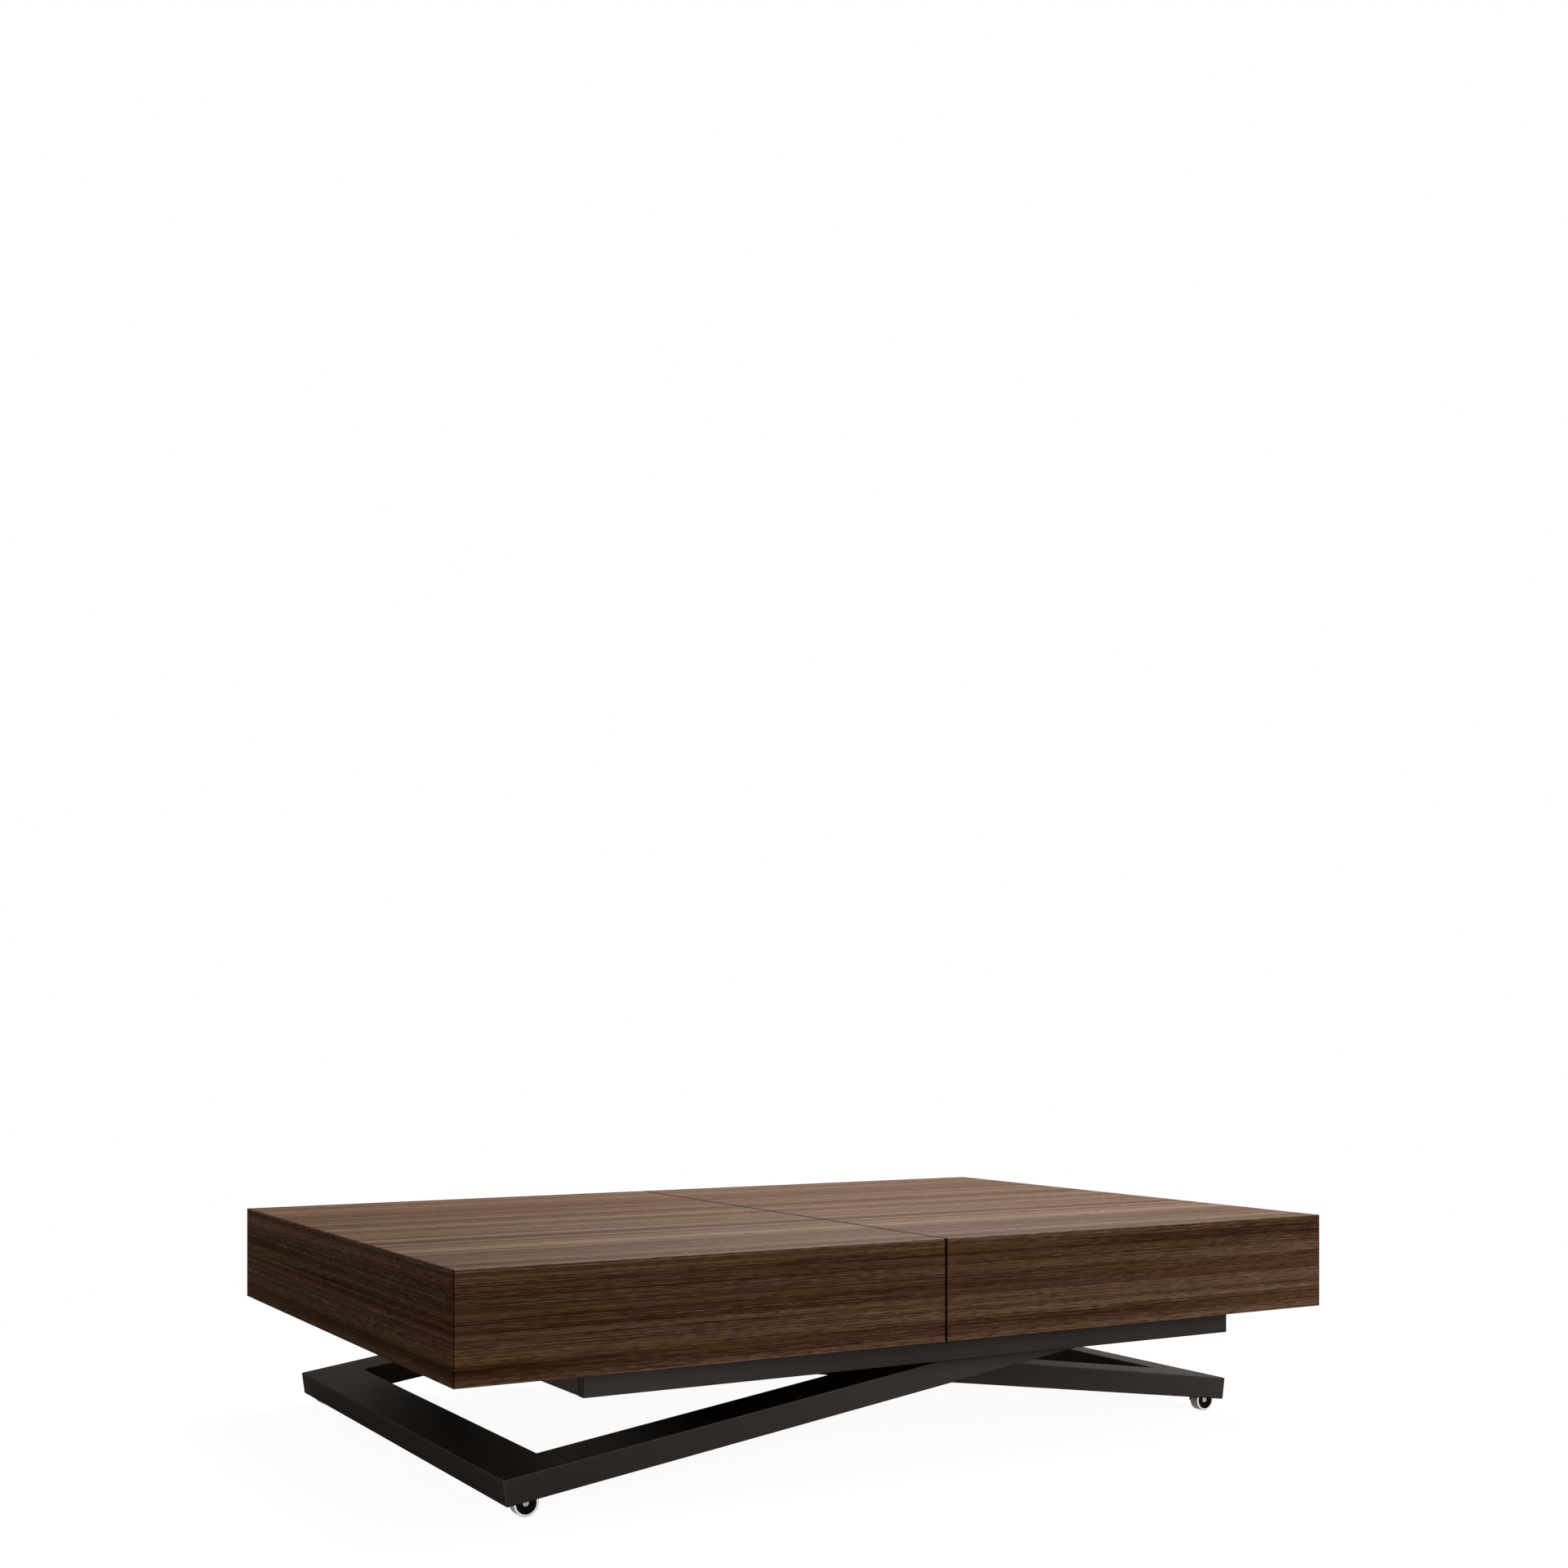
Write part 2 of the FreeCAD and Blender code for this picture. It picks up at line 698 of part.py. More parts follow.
def wheel(doc, side_name, end_name):
    """A fixed wheel: a tyre on a rim whose outer face is sunk around the axle screw."""
    side = SIDES[side_name]
    end = ENDS[end_name]
    outer = "sizes.leg_a_outer" if end == LEFT else "sizes.leg_b_outer"
    base = f"{side} * ({outer} - sizes.wheel_inset - sizes.wheel_wide)"
    wide = f"{side} * sizes.wheel_wide"
    bevel = f"{side} * sizes.tyre_bevel"

    tyre = new_body(doc, f"{side_name}_{end_name}_tyre")
    place(tyre, f"{end} * sizes.axle_along", base, "sizes.wheel_radius")
    sketch = new_sketch(tyre, tyre.Name + "_outline", "YZ_Plane")
    polygon(sketch, [
        ("0", "sizes.rim_radius"),
        (wide, "sizes.rim_radius"),
        (wide, "sizes.wheel_radius - sizes.tyre_bevel"),
        (f"{wide} - {bevel}", "sizes.wheel_radius"),
        (bevel, "sizes.wheel_radius"),
        ("0", "sizes.wheel_radius - sizes.tyre_bevel"),
    ])
    revolve(tyre, sketch, tyre.Name + "_turned")

    rim = new_body(doc, f"{side_name}_{end_name}_rim")
    place(rim, f"{end} * sizes.axle_along", base, "sizes.wheel_radius")
    sketch = new_sketch(rim, rim.Name + "_outline", "YZ_Plane")
    face = f"{side} * sizes.web_face"
    back = f"{side} * sizes.rim_back"
    polygon(sketch, [
        (back, "sizes.axle_hole"),
        (face, "sizes.axle_hole"),
        (face, "sizes.rim_inner"),
        (wide, "sizes.rim_inner"),
        (wide, "sizes.rim_radius"),
        ("0", "sizes.rim_radius"),
        ("0", "sizes.rim_inner"),
        (back, "sizes.rim_inner"),
    ])
    revolve(rim, sketch, rim.Name + "_turned")


def top_roller(doc, side_name):
    side = SIDES[side_name]
    body = new_body(doc, f"{side_name}_roller")
    place(body, "-sizes.hinge_along", f"{side} * sizes.roller_outer", "sizes.hinge_tall")
    sketch = new_sketch(body, body.Name + "_outline", "YZ_Plane")
    inner = f"{-side} * sizes.roller_wide"
    polygon(sketch, [
        ("0", "sizes.shaft_hole"),
        ("0", "sizes.roller_radius"),
        (inner, "sizes.roller_radius"),
        (inner, "sizes.shaft_hole"),
    ])
    revolve(body, sketch, body.Name + "_turned")


def signed_rectangle(sketch, side, inner, outer, low, high):
    """A rectangle between two distances from the middle plane, on one side of it."""
    if side == FAR:
        rectangle(sketch, inner, outer, low, high)
    else:
        rectangle(sketch, f"-({outer})", f"-({inner})", low, high)


def frame_side_rail(doc, side_name):
    """A long rail with an upright web that carries the tray floor and the hinge pin."""
    side = SIDES[side_name]
    body = new_body(doc, f"frame_{side_name}_rail")
    outer = f"{side} * sizes.frame_side"
    inner = f"{side} * sizes.rail_inner"
    web = f"{side} * sizes.web_outer"

    def profile(sketch):
        polygon(sketch, [
            (inner, "sizes.rail_low"),
            (outer, "sizes.rail_low"),
            (outer, "sizes.rail_high"),
            (web, "sizes.rail_high"),
            (web, "sizes.tray_low"),
            (inner, "sizes.tray_low"),
        ])

    along(body, body.Name + "_profile", "-sizes.frame_half", "sizes.frame_half", profile)
    across(body, body.Name + "_pin_hole", side, "sizes.rail_inner", "sizes.web_outer",
           lambda sketch: circle(sketch, "sizes.hinge_along", "sizes.hinge_tall", "sizes.hinge_radius"),
           cut=True)
    edges = edges_facing(current_shape(body), LENGTHWISE, CROSSWISE * side)
    round_edges(body, edges, "sizes.rail_round")


def frame_end_rail(doc, end_name):
    end = ENDS[end_name]
    body = new_body(doc, f"frame_{end_name}_rail")
    outer = "sizes.frame_half"
    inner = "sizes.frame_half - sizes.rail_thick"
    through(body, body.Name + "_bar", "sizes.rail_inner",
            lambda sketch: signed_rectangle(sketch, end, inner, outer, "sizes.rail_low",
                                            "sizes.rail_high"))
    edges = edges_facing(current_shape(body), CROSSWISE, LENGTHWISE * end)
    round_edges(body, edges, "sizes.rail_round")


def hinge_brackets(doc):
    """Angle plates under the tray that hold the inner ends of the hinge pins."""
    body = new_body(doc, "hinge_brackets")
    left = "sizes.hinge_along - sizes.bracket_wide / 2"
    right = "sizes.hinge_along + sizes.bracket_wide / 2"
    foot = "sizes.hinge_tall - sizes.bracket_below"
    flange = "sizes.bracket_outer - sizes.bracket_flange"
    both_sides(body, "bracket_plate", "sizes.bracket_inner", "sizes.bracket_outer",
               lambda sketch: rectangle(sketch, left, right, foot, "sizes.tray_low"))
    both_sides(body, "bracket_flange", flange, "sizes.bracket_outer",
               lambda sketch: rectangle(sketch, left, right, "sizes.tray_low - sizes.bracket_thick",
                                        "sizes.tray_low"))
    both_sides(body, "bracket_hole", "sizes.bracket_inner", "sizes.bracket_outer",
               lambda sketch: circle(sketch, "sizes.hinge_along", "sizes.hinge_tall",
                                     "sizes.hinge_radius"), cut=True)


def hinge_pins(doc):
    """Headed pins on which leg A turns, held in the brackets and in the rails' webs."""
    body = new_body(doc, "hinge_pins")
    inner = "sizes.bracket_inner"
    outer = "sizes.web_outer"

    def round_at(radius):
        return lambda sketch: circle(sketch, "sizes.hinge_along", "sizes.hinge_tall", radius)

    both_sides(body, "hinge_head", f"{inner} - sizes.hinge_head_thick", inner,
               round_at("sizes.hinge_head"))
    both_sides(body, "hinge_shank", inner, outer, round_at("sizes.hinge_radius"))
    both_sides(body, "hinge_outer_head", outer, f"{outer} + sizes.hinge_head_thick",
               round_at("sizes.hinge_head"))


def roller_track(doc, side_name):
    """A channel on the rail's web in which the top roller runs."""
    side = SIDES[side_name]
    body = new_body(doc, f"{side_name}_track")
    back = f"{side} * sizes.rail_inner"
    web = f"{side} * (sizes.rail_inner - sizes.track_web)"
    edge = f"{side} * (sizes.rail_inner - sizes.track_deep)"
    low = "sizes.hinge_tall - sizes.roller_radius - sizes.track_gap"
    high = "sizes.hinge_tall + sizes.roller_radius + sizes.track_gap"

    def channel(sketch):
        polygon(sketch, [
            (back, f"{low} - sizes.track_wall"),
            (back, f"{high} + sizes.track_wall"),
            (edge, f"{high} + sizes.track_wall"),
            (edge, high),
            (web, high),
            (web, low),
            (edge, low),
            (edge, f"{low} - sizes.track_wall"),
        ])

    along(body, body.Name + "_channel", "-sizes.track_far_end", "-sizes.track_near_end", channel)


def gas_cylinders(doc):
    """Two pull-type gas cylinders lying along the frame."""
    body = new_body(doc, "gas_cylinders")

    def rings(outer, inner):
        def draw(sketch):
            for side in (NEAR, FAR):
                circle(sketch, f"{side} * sizes.gas_side", "sizes.hinge_tall", outer)
                if inner:
                    circle(sketch, f"{side} * sizes.gas_side", "sizes.hinge_tall", inner)
        return draw

    along(body, "gas_tube", "-sizes.gas_left", "sizes.gas_right",
          rings("sizes.gas_radius", "sizes.gas_bore"))
    along(body, "gas_gland", "-sizes.gas_left", "-sizes.gas_left + sizes.gas_cap",
          rings("sizes.gas_radius", "sizes.gas_rod + sizes.running_gap"))
    along(body, "gas_end", "sizes.gas_right - sizes.gas_cap", "sizes.gas_right",
          rings("sizes.gas_radius", None))


def gas_clamps(doc):
    """Blocks that hang the gas cylinders under the tray floor."""
    body = new_body(doc, "gas_clamps")

    def outline(sketch):
        for side in (NEAR, FAR):
            centre = f"{side} * sizes.gas_side"
            low = "sizes.hinge_tall - sizes.gas_radius - sizes.clamp_below"
            rectangle(sketch, f"{centre} - sizes.clamp_wide / 2", f"{centre} + sizes.clamp_wide / 2",
                      low, "sizes.tray_low")
            circle(sketch, centre, "sizes.hinge_tall", "sizes.gas_radius")

    right = "sizes.gas_right - sizes.clamp_inset"
    along(body, "right_clamps", f"{right} - sizes.clamp_long", right, outline)
    left = "-sizes.gas_left + sizes.clamp_inset"
    along(body, "left_clamps", left, f"{left} + sizes.clamp_long", outline)


def gas_rods(doc):
    """The rods of the gas cylinders, with eyes on the roller shaft."""
    body = new_body(doc, "gas_rods")

    def rounds(radius):
        def draw(sketch):
            for side in (NEAR, FAR):
                circle(sketch, f"{side} * sizes.gas_side", "sizes.hinge_tall", radius)
        return draw

    tip = "-sizes.gas_tip"
    along(body, "gas_rod_bars", "-sizes.hinge_along + sizes.eye_overlap", tip, rounds("sizes.gas_rod"))
    along(body, "gas_pistons", f"{tip} - sizes.piston_long", tip,
          rounds("sizes.gas_bore - sizes.running_gap"))
    start = "sizes.gas_side - sizes.eye_thick / 2"
    end = "sizes.gas_side + sizes.eye_thick / 2"
    both_sides(body, "gas_eyes", start, end,
               lambda sketch: circle(sketch, "-sizes.hinge_along", "sizes.hinge_tall",
                                     "sizes.eye_radius"))
    both_sides(body, "gas_eye_holes", start, end,
               lambda sketch: circle(sketch, "-sizes.hinge_along", "sizes.hinge_tall",
                                     "sizes.shaft_hole"), cut=True)


def centred_rectangle(sketch, half_x, half_y):
    rectangle(sketch, f"-({half_x})", half_x, f"-({half_y})", half_y)


def tray(doc):
    """An open wooden tray that rests on the frame and holds the spare leaves."""
    floor = new_body(doc, "tray_floor")
    upward(floor, "tray_floor_board", "sizes.tray_low", "sizes.tray_base",
           lambda sketch: centred_rectangle(sketch, "sizes.tray_half", "sizes.web_outer"))

    inner = "sizes.tray_side - sizes.tray_wall"
    sides = new_body(doc, "tray_side_walls")
    both_sides(sides, "tray_side_board", inner, "sizes.tray_side",
               lambda sketch: rectangle(sketch, "-sizes.tray_half", "sizes.tray_half",
                                        "sizes.tray_base", "sizes.tray_high"))

    end_inner = "sizes.tray_half - sizes.tray_wall"
    ends = new_body(doc, "tray_end_walls")

    def outline(sketch):
        for end in (LEFT, RIGHT):
            signed_rectangle(sketch, end, end_inner, "sizes.tray_half", "sizes.tray_base",
                             "sizes.tray_high")

    through(ends, "tray_end_board", inner, outline)


def glide_strips(doc):
    """Low-friction strips on the tray's side walls, on which both halves of the top slide."""
    body = new_body(doc, "glide_strips")
    half = "sizes.tray_half - sizes.glide_inset"
    both_sides(body, "glide_strip", "sizes.tray_side - sizes.tray_wall", "sizes.tray_side",
               lambda sketch: rectangle(sketch, f"-({half})", half, "sizes.tray_high",
                                        "sizes.panel_low"))


def upper_edges(shape):
    return edges_facing(shape, LENGTHWISE, UPRIGHT) + edges_facing(shape, CROSSWISE, UPRIGHT)


def leaf(doc, name, low):
    """A spare leaf, lying crosswise in the tray."""
    body = new_body(doc, name)
    upward(body, name + "_board", low, f"{low} + sizes.leaf_thick",
           lambda sketch: centred_rectangle(sketch, "sizes.leaf_half_long", "sizes.leaf_half_wide"))
    bevel_edges(body, upper_edges(current_shape(body)), "sizes.edge_bevel", "_bevel")


def felt_strips(doc):
    """Felt under the lower leaf and between the leaves."""
    body = new_body(doc, "felt_strips")
    half = "sizes.leaf_half_wide - sizes.felt_inset"

    def strips(sketch):
        for end in (LEFT, RIGHT):
            centre = f"{end} * sizes.felt_along"
            rectangle(sketch, f"{centre} - sizes.felt_wide / 2", f"{centre} + sizes.felt_wide / 2",
                      f"-({half})", half)

    upward(body, "lower_strips", "sizes.tray_base", "sizes.leaf_a_low", strips)
    high = "sizes.leaf_b_low"
    upward(body, "upper_strips", f"{high} - sizes.felt_thick", high, strips)


def slide_channel(sketch, side, back, edge, half):
    """A channel section with its back at one distance from the middle plane."""
    wall = "sizes.slide_sheet"
    centre = "sizes.slide_centre"
    low = f"{centre} - {half}"
    high = f"{centre} + {half}"
    turn = 1 if number(sketch, edge) > number(sketch, back) else -1
    web = f"{back} + {turn} * {wall}"
    polygon(sketch, [
        (f"{side} * ({back})", low),
        (f"{side} * ({edge})", low),
        (f"{side} * ({edge})", f"{low} + {wall}"),
        (f"{side} * ({web})", f"{low} + {wall}"),
        (f"{side} * ({web})", f"{high} - {wall}"),
        (f"{side} * ({edge})", f"{high} - {wall}"),
        (f"{side} * ({edge})", high),
        (f"{side} * ({back})", high),
    ])


def slide_span(end):
    if end == RIGHT:
        return "sizes.slide_start", "sizes.slide_end"
    return "-sizes.slide_end", "-sizes.slide_start"


def slide_pair(body, name, end, back, edge, half):
    """The same slide member on the near and the far side of one half."""
    start, finish = slide_span(end)

    def outline(sketch):
        slide_channel(sketch, NEAR, back, edge, half)
        slide_channel(sketch, FAR, back, edge, half)

    along(body, name, start, finish, outline)


def outer_slides(doc):
    body = new_body(doc, "outer_slides")
    for end_name, end in ENDS.items():
        slide_pair(body, f"{end_name}_outer_pair", end, "sizes.tray_side", "sizes.slide_edge",
                   "sizes.outer_half")


def middle_slides(doc, end_name):
    body = new_body(doc, f"{end_name}_middle_slides")
    slide_pair(body, body.Name + "_pair", ENDS[end_name], "sizes.tray_side + sizes.middle_step",
               "sizes.slide_edge", "sizes.middle_half")


def inner_slides(doc, end_name):
    body = new_body(doc, f"{end_name}_inner_slides")
    slide_pair(body, body.Name + "_pair", ENDS[end_name], "sizes.apron_inner",
               "sizes.tray_side + sizes.inner_step", "sizes.inner_half")


def half_top(doc, end_name):
    """One half of the table top, its lower edges mitred onto the aprons."""
    end = ENDS[end_name]
    body = new_body(doc, f"{end_name}_top")

    def outline(sketch):
        start, finish = ("sizes.half_seam", "sizes.half_long")
        if end == LEFT:
            start, finish = ("-sizes.half_long", "-sizes.half_seam")
        rectangle(sketch, start, finish, "-sizes.half_wide", "sizes.half_wide")

    upward(body, body.Name + "_board", "sizes.panel_low", "sizes.overall_tall", outline)
    shape = current_shape(body)
    lower = edges_facing(shape, LENGTHWISE, -UPRIGHT)
    lower += shared(edges_facing(shape, CROSSWISE, -UPRIGHT),
                    edges_facing(shape, CROSSWISE, LENGTHWISE * end))
    bevel_edges(body, lower, "sizes.board - sizes.mitre_land", "_mitre")
    bevel_edges(body, upper_edges(current_shape(body)), "sizes.edge_bevel", "_bevel")
    dowel_holes(body, end)
    return body


def dowel_circles(radius):
    def draw(sketch):
        for side in (NEAR, FAR):
            circle(sketch, f"{side} * sizes.dowel_inner", "sizes.dowel_tall", radius)
            circle(sketch, f"{side} * sizes.dowel_outer", "sizes.dowel_tall", radius)
    return draw


def dowel_holes(body, end):
    if end == LEFT:
        along(body, "dowel_seats", "-sizes.half_seam - sizes.dowel_in", "-sizes.half_seam",
              dowel_circles("sizes.dowel_radius"), cut=True)
    else:
        along(body, "dowel_sockets", "sizes.half_seam", "sizes.half_seam + sizes.dowel_socket",
              dowel_circles("sizes.dowel_radius + sizes.running_gap"), cut=True)


def alignment_dowels(doc):
    """Dowels fixed in the left half that enter sockets in the right half."""
    body = new_body(doc, "alignment_dowels")
    along(body, "dowel_rods", "-sizes.half_seam - sizes.dowel_in", "sizes.half_seam + sizes.dowel_out",
          dowel_circles("sizes.dowel_radius"))


def mitre_profile(sketch, side, outer, inner):
    """An upright board's section, its top cut at 45 degrees under the table top."""
    polygon(sketch, [
        (f"{side} * {inner}", "sizes.box_low"),
        (f"{side} * {outer}", "sizes.box_low"),
        (f"{side} * {outer}", "sizes.overall_tall - sizes.mitre_land"),
        (f"{side} * {inner}", "sizes.panel_low - sizes.mitre_land"),
    ])


def corner_cut(body, name, side, end, side_piece):
    """Cut one end of an apron along the upright 45 degree plane through the box corner."""
    corner = (f"{end} * sizes.half_long", f"{side} * sizes.half_wide")
    inside = (f"{end} * sizes.end_inner", f"{side} * sizes.apron_inner")
    if side_piece:
        third = (corner[0], inside[1])
    else:
        third = (inside[0], corner[1])
    upward(body, name, "sizes.box_low", "sizes.overall_tall",
           lambda sketch: polygon(sketch, [corner, inside, third]), cut=True)


def side_apron(doc, end_name, side_name):
    end = ENDS[end_name]
    side = SIDES[side_name]
    body = new_body(doc, f"{end_name}_{side_name}_apron")
    start, finish = ("sizes.half_seam", "sizes.half_long")
    if end == LEFT:
        start, finish = ("-sizes.half_long", "-sizes.half_seam")
    along(body, body.Name + "_board", start, finish,
          lambda sketch: mitre_profile(sketch, side, "sizes.half_wide", "sizes.apron_inner"))
    corner_cut(body, body.Name + "_corner", side, end, True)


def end_apron(doc, end_name):
    end = ENDS[end_name]
    body = new_body(doc, f"{end_name}_end_apron")
    through(body, body.Name + "_board", "sizes.half_wide",
            lambda sketch: mitre_profile(sketch, end, "sizes.half_long", "sizes.end_inner"))
    for side_name, side in SIDES.items():
        corner_cut(body, f"{body.Name}_{side_name}_corner", side, end, False)


def release_lever(doc):
    """A flat lever under the tray that frees the lift, swinging on an upright pin."""
    pin = new_body(doc, "lever_pin")
    place(pin, "sizes.lever_along")
    foot = "sizes.tray_low - sizes.lever_drop - sizes.lever_thick - sizes.face_gap"
    upward(pin, "lever_pin_shank", foot, "sizes.tray_low",
           lambda sketch: circle(sketch, "0", "0", "sizes.lever_pin"))
    upward(pin, "lever_pin_head", f"{foot} - sizes.lever_head_thick", foot,
           lambda sketch: circle(sketch, "0", "0", "sizes.lever_head"))

    body = new_body(doc, "release_lever")
    place(body, "sizes.lever_along")
    low = "sizes.tray_low - sizes.lever_drop - sizes.lever_thick"
    half = "sizes.lever_wide / 2"
    paddle = "sizes.lever_paddle / 2"
    neck = "sizes.lever_reach - sizes.lever_paddle_long"

    def outline(sketch):
        polygon(sketch, [
            (f"-({half})", f"-({half})"),
            (neck, f"-({half})"),
            ("sizes.lever_reach", f"-({paddle})"),
            ("sizes.lever_reach", paddle),
            (neck, half),
            (f"-({half})", half),
        ])

    upward(body, "lever_plate", low, f"{low} + sizes.lever_thick", outline)
    upward(body, "lever_hole", low, f"{low} + sizes.lever_thick",
           lambda sketch: circle(sketch, "0", "0", "sizes.lever_pin + sizes.running_gap"), cut=True)


def build_legs(doc):
    for side_name in SIDES:
        leg_a_beam(doc, side_name)
        leg_b_beam(doc, side_name)
    cross_tube(doc, "leg_a_floor_tube", LEFT, "sizes.floor_reach", "sizes.leg_a_inner")
    cross_tube(doc, "leg_b_floor_tube", RIGHT, "sizes.floor_reach", "sizes.leg_b_inner")
    cross_tube(doc, "leg_a_top_tube", LEFT, "sizes.tube_wide - sizes.leg_a_cross_top",
               "sizes.leg_a_inner")
    cross_tube(doc, "leg_b_top_tube", RIGHT, "sizes.tube_wide - sizes.leg_b_cross_top",
               "sizes.leg_b_inner")
    axle_lugs(doc, "leg_a_axle_lugs", LEFT, "sizes.leg_a_outer", "sizes.axle_hole")
    axle_lugs(doc, "leg_b_axle_lugs", RIGHT, "sizes.leg_b_outer", "sizes.axle_radius")
    crossing_pins(doc)
    roller_shaft(doc)


def build_wheels(doc):
    left_axle(doc)
    right_axle(doc)
    for side_name in SIDES:
        top_roller(doc, side_name)
        for end_name in ENDS:
            wheel(doc, side_name, end_name)


def build_frame(doc):
    for side_name in SIDES:
        frame_side_rail(doc, side_name)
        roller_track(doc, side_name)
    for end_name in ENDS:
        frame_end_rail(doc, end_name)
    hinge_brackets(doc)
    hinge_pins(doc)
    gas_cylinders(doc)
    gas_clamps(doc)
    gas_rods(doc)
    release_lever(doc)


def build_tray(doc):
    tray(doc)
    leaf(doc, "lower_leaf", "sizes.leaf_a_low")
    leaf(doc, "upper_leaf", "sizes.leaf_b_low")
    felt_strips(doc)
    glide_strips(doc)
    outer_slides(doc)


def build_halves(doc):
    for end_name in ENDS:
        half_top(doc, end_name)
        end_apron(doc, end_name)
        middle_slides(doc, end_name)
        inner_slides(doc, end_name)
        for side_name in SIDES:
            side_apron(doc, end_name, side_name)
    alignment_dowels(doc)


def check_and_export(doc):
    for item in doc.Objects:
        if "Invalid" in item.State or "Error" in item.State:
            raise RuntimeError(f"{item.Name} is {item.State}")
    os.makedirs("parts", exist_ok=True)
    for item in doc.Objects:
        if item.TypeId != "PartDesign::Body":
            continue
        if item.Shape.isNull() or not item.Shape.isValid():
            raise RuntimeError(f"{item.Name} has no valid shape")
        item.Shape.exportStep(f"parts/{item.Label}.step")


doc = FreeCAD.newDocument("extendable_coffee_table")
fill_sizes(doc)
build_legs(doc)
build_wheels(doc)
build_frame(doc)
build_tray(doc)
build_halves(doc)
doc.recompute()
check_and_export(doc)
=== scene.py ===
import math

import bmesh
import bpy
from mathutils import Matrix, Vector


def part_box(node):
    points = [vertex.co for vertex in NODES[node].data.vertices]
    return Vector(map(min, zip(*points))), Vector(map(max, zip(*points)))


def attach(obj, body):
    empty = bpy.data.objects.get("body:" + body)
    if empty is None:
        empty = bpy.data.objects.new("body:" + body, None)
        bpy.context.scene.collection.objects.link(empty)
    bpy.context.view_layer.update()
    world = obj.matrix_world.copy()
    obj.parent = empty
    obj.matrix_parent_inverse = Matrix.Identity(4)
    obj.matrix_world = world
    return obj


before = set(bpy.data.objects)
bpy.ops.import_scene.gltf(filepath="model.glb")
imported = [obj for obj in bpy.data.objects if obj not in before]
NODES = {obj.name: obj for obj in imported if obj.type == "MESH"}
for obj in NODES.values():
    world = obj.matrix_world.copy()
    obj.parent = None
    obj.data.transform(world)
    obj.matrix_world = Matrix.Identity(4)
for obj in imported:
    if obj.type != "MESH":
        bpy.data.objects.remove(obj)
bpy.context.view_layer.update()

# Metres, in the frame of the solids: X runs along the box, the near long side faces -Y, the floor is z = 0.

ALONG_X, ALONG_Y, ALONG_Z = range(3)
SIDES = {"near": -1, "far": 1}
ENDS = {"left": -1, "right": 1}


class Value:
    """A shader socket that Python arithmetic can be done with."""

    def __init__(self, shader, socket):
        self.shader = shader
        self.socket = socket

    def math(self, operation, *values):
        return self.shader.node("Math", dict(enumerate(values)), {"operation": operation})

    def __add__(self, other):
        return self.math("ADD", self, other)

    def __sub__(self, other):
        return self.math("SUBTRACT", self, other)

    def __rsub__(self, other):
        return self.math("SUBTRACT", other, self)

    def __mul__(self, other):
        return self.math("MULTIPLY", self, other)

    def __pow__(self, other):
        return self.math("POWER", self, other)

    __radd__ = __add__

    def size(self):
        return self.math("ABSOLUTE", self)

    def sine(self):
        return self.math("SINE", self)

    def at_most(self, other):
        return self.math("MINIMUM", self, other)

    def or_more(self, other):
        return self.math("MAXIMUM", self, other)


